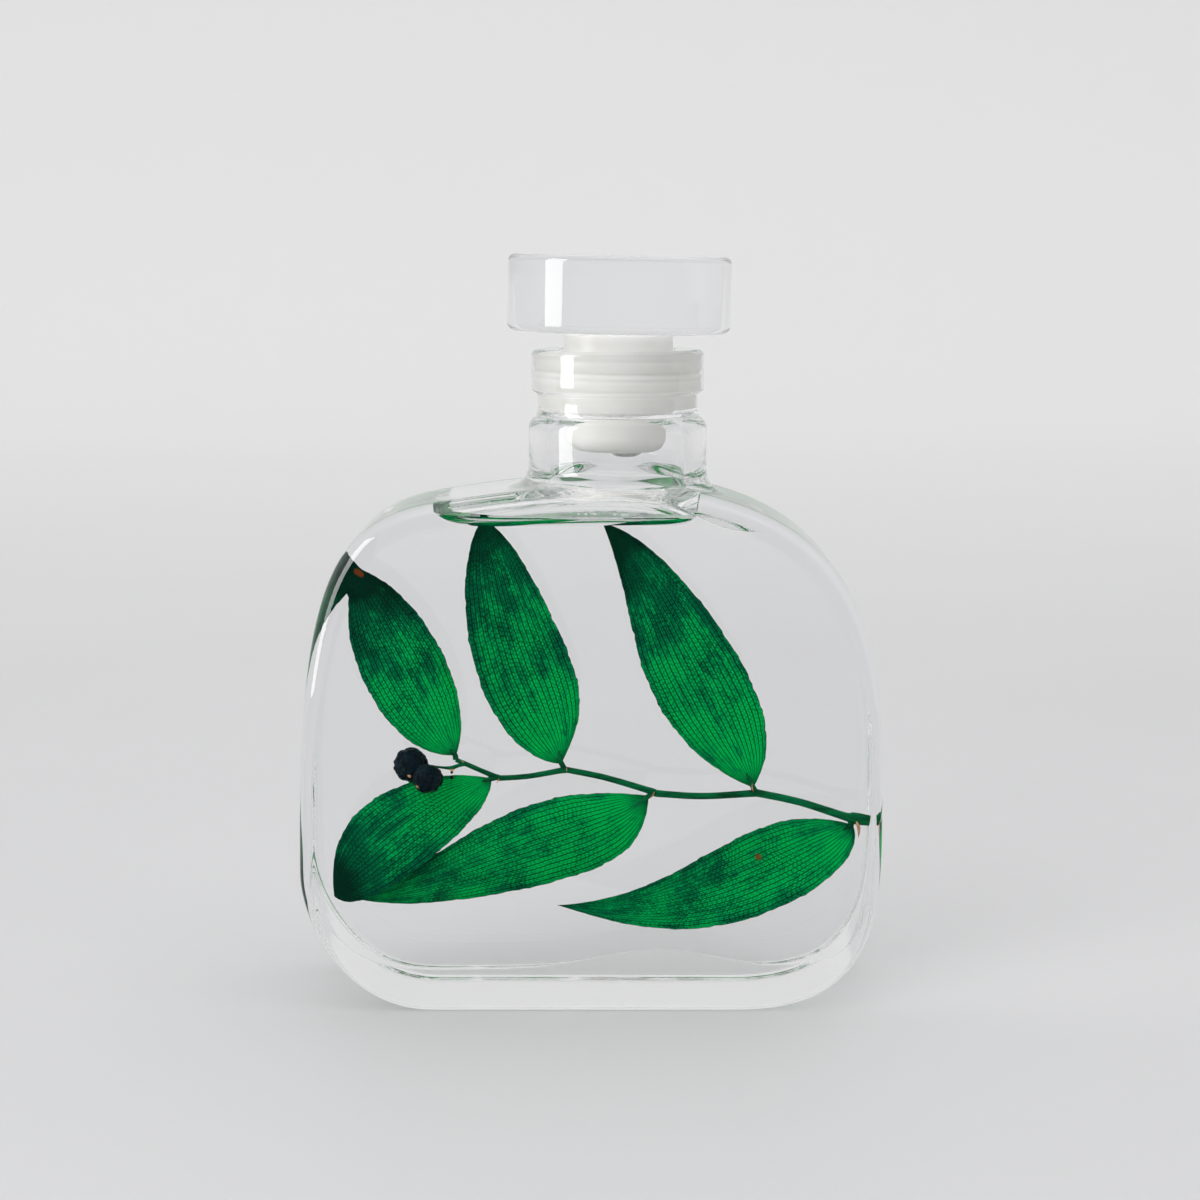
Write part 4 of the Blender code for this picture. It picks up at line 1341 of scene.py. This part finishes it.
class RUSCUS_OT_disc(bpy.types.Operator):
    """Clear disc that heads the stopper"""

    bl_idname = "ruscus.disc"
    bl_label = "Disc"

    def execute(self, context):
        looks = context.scene.ruscus_stopper
        low = looks.head_bottom / MM
        high = looks.head_top / MM
        round_ = looks.head_rounding / MM
        edge = looks.head_radius / MM
        profile = [(0.0, low), (6.0, low), (12.0, low), (15.0, low)]
        profile += arc(edge - round_, low + round_, round_, -90.0, 0.0, 12)
        profile += [(edge, (low + high) / 2)]
        profile += arc(edge - round_, high - round_, round_, 0.0, 90.0, 12)
        profile += [(15.0, high), (12.0, high), (6.0, high), (0.0, high)]
        material = clear_material("clear_disc", looks.disc_ior, looks.disc_tint)
        disc = turned_piece("clear_disc", profile, (material,), looks,
                            context.scene.ruscus_bottle, 192)
        finished(disc, "stopper_head")
        return {"FINISHED"}


def area_light(name, place, aim, width, height, power):
    data = bpy.data.lights.new(name, "AREA")
    data.shape = "RECTANGLE"
    data.size = width
    data.size_y = height
    data.energy = power
    lamp = new_object(name, data)
    lamp.location = place
    way = Vector(aim) - Vector(place)
    lamp.rotation_euler = way.to_track_quat("-Z", "Y").to_euler()
    lamp.visible_transmission = False
    return lamp


def build_backdrop(looks):
    """A floor that curves up into a backdrop behind the object."""
    bend = 0.5
    back = 1.1
    turn = np.linspace(0, math.pi / 2, 25)
    profile = [(-1.4, 0.0), (0.0, 0.0)]
    profile += [(back + bend * math.sin(a), bend - bend * math.cos(a)) for a in turn]
    profile += [(back + bend, 1.8)]
    points = [(side, y, z - 0.00005) for y, z in profile for side in (-2.2, 2.2)]
    faces = [(2 * i, 2 * i + 1, 2 * i + 3, 2 * i + 2) for i in range(len(profile) - 1)]
    floor = piece_from_points("floor", np.array(points) / MM, faces, (floor_material(looks),))


def build_world(looks):
    """Even room light, with dark flags that keep it out of the glass's outer reflections."""
    world = bpy.data.worlds.new("room_light")
    bpy.context.scene.world = world
    world.use_nodes = True
    sheet = Sheet(world.node_tree)
    way = sheet.node("ShaderNodeTexCoord", output="Generated")
    x, y, z = sheet.parts(way)
    height = sheet.step(z, -0.2, 0.8, 0.94, 1.06)
    flank = sheet.step(abs(x), 0.8, 0.98, 1.0, 0.86)
    behind_camera = sheet.step(y, -0.9, -0.3, 0.9, 1.0)
    flags = mirror_image(sheet) * sheet.step(y, -0.45, -0.05, looks.flags, 0.0)
    level = height * flank * behind_camera * (1.0 - flags)
    light = sheet.node("ShaderNodeBackground", values={"Color": (1.0, 1.0, 1.0),
                                                       "Strength": level * looks.sky_strength})
    sheet.node("ShaderNodeOutputWorld", values={"Surface": light})


class RUSCUS_OT_stage(bpy.types.Operator):
    """Pale floor and backdrop, soft light and the camera"""

    bl_idname = "ruscus.stage"
    bl_label = "Stage"

    def execute(self, context):
        looks = context.scene.ruscus_stage
        build_backdrop(looks)
        build_world(looks)
        window = area_light("window", (-0.57, -0.20, 0.28), (0.0, 0.0, 0.06), 0.25, 0.52,
                            looks.window_power)
        window.visible_diffuse = False
        fill = area_light("fill", (-0.75, -0.9, 0.85), (0.0, 0.0, 0.05), 0.8, 0.8,
                          looks.fill_power)
        fill.visible_glossy = False
        area_light("overhead", (0.1, -0.1, 1.1), (0.0, 0.0, 0.0), 0.9, 0.9, looks.top_power)
        data = bpy.data.cameras.new("camera")
        data.sensor_width = 36.0
        data.lens = 18.0 / math.tan(looks.field_angle / 2)
        data.clip_start = 0.01
        data.dof.use_dof = False
        camera = new_object("camera", data)
        camera.location = (looks.camera_side, -looks.camera_distance, looks.camera_height)
        camera.rotation_euler = (math.pi / 2 - looks.camera_pitch, 0.0, 0.0)
        context.scene.camera = camera
        context.scene.view_settings.view_transform = "Standard"
        cycles = context.scene.cycles
        cycles.max_bounces = 40
        cycles.transmission_bounces = 36
        cycles.glossy_bounces = 20
        cycles.transparent_max_bounces = 24
        return {"FINISHED"}


BUILDERS = (RUSCUS_OT_stage, RUSCUS_OT_bottle, RUSCUS_OT_oil, RUSCUS_OT_leaves, RUSCUS_OT_stem,
            RUSCUS_OT_bracts, RUSCUS_OT_berries, RUSCUS_OT_plug, RUSCUS_OT_disc)
SETTINGS = {
    "ruscus_bottle": BottleLooks, "ruscus_oil": OilLooks, "ruscus_sprig": SprigLooks,
    "ruscus_berry": BerryLooks, "ruscus_stopper": StopperLooks, "ruscus_stage": StageLooks,
}


class RUSCUS_PT_sidebar(bpy.types.Panel):
    """Lists the bottle's settings and the steps that build it"""

    bl_idname = "RUSCUS_PT_sidebar"
    bl_label = "Ruscus Bottle"
    bl_space_type = "VIEW_3D"
    bl_region_type = "UI"
    bl_category = "Ruscus Bottle"

    def draw(self, context):
        for step in BUILDERS:
            self.layout.operator(step.bl_idname)
        for name, group in SETTINGS.items():
            column = self.layout.column(heading=group.__name__)
            for field in group.__annotations__:
                column.prop(getattr(context.scene, name), field)


CLASSES = (*SETTINGS.values(), *BUILDERS, RUSCUS_PT_sidebar)


def register():
    for item in CLASSES:
        bpy.utils.register_class(item)
    for name, group in SETTINGS.items():
        setattr(bpy.types.Scene, name, PointerProperty(type=group))


def unregister():
    for name in SETTINGS:
        delattr(bpy.types.Scene, name)
    for item in reversed(CLASSES):
        bpy.utils.unregister_class(item)


def main():
    register()
    for step in BUILDERS:
        family, name = step.bl_idname.split(".")
        getattr(getattr(bpy.ops, family), name)()


if __name__ == "__main__":
    main()
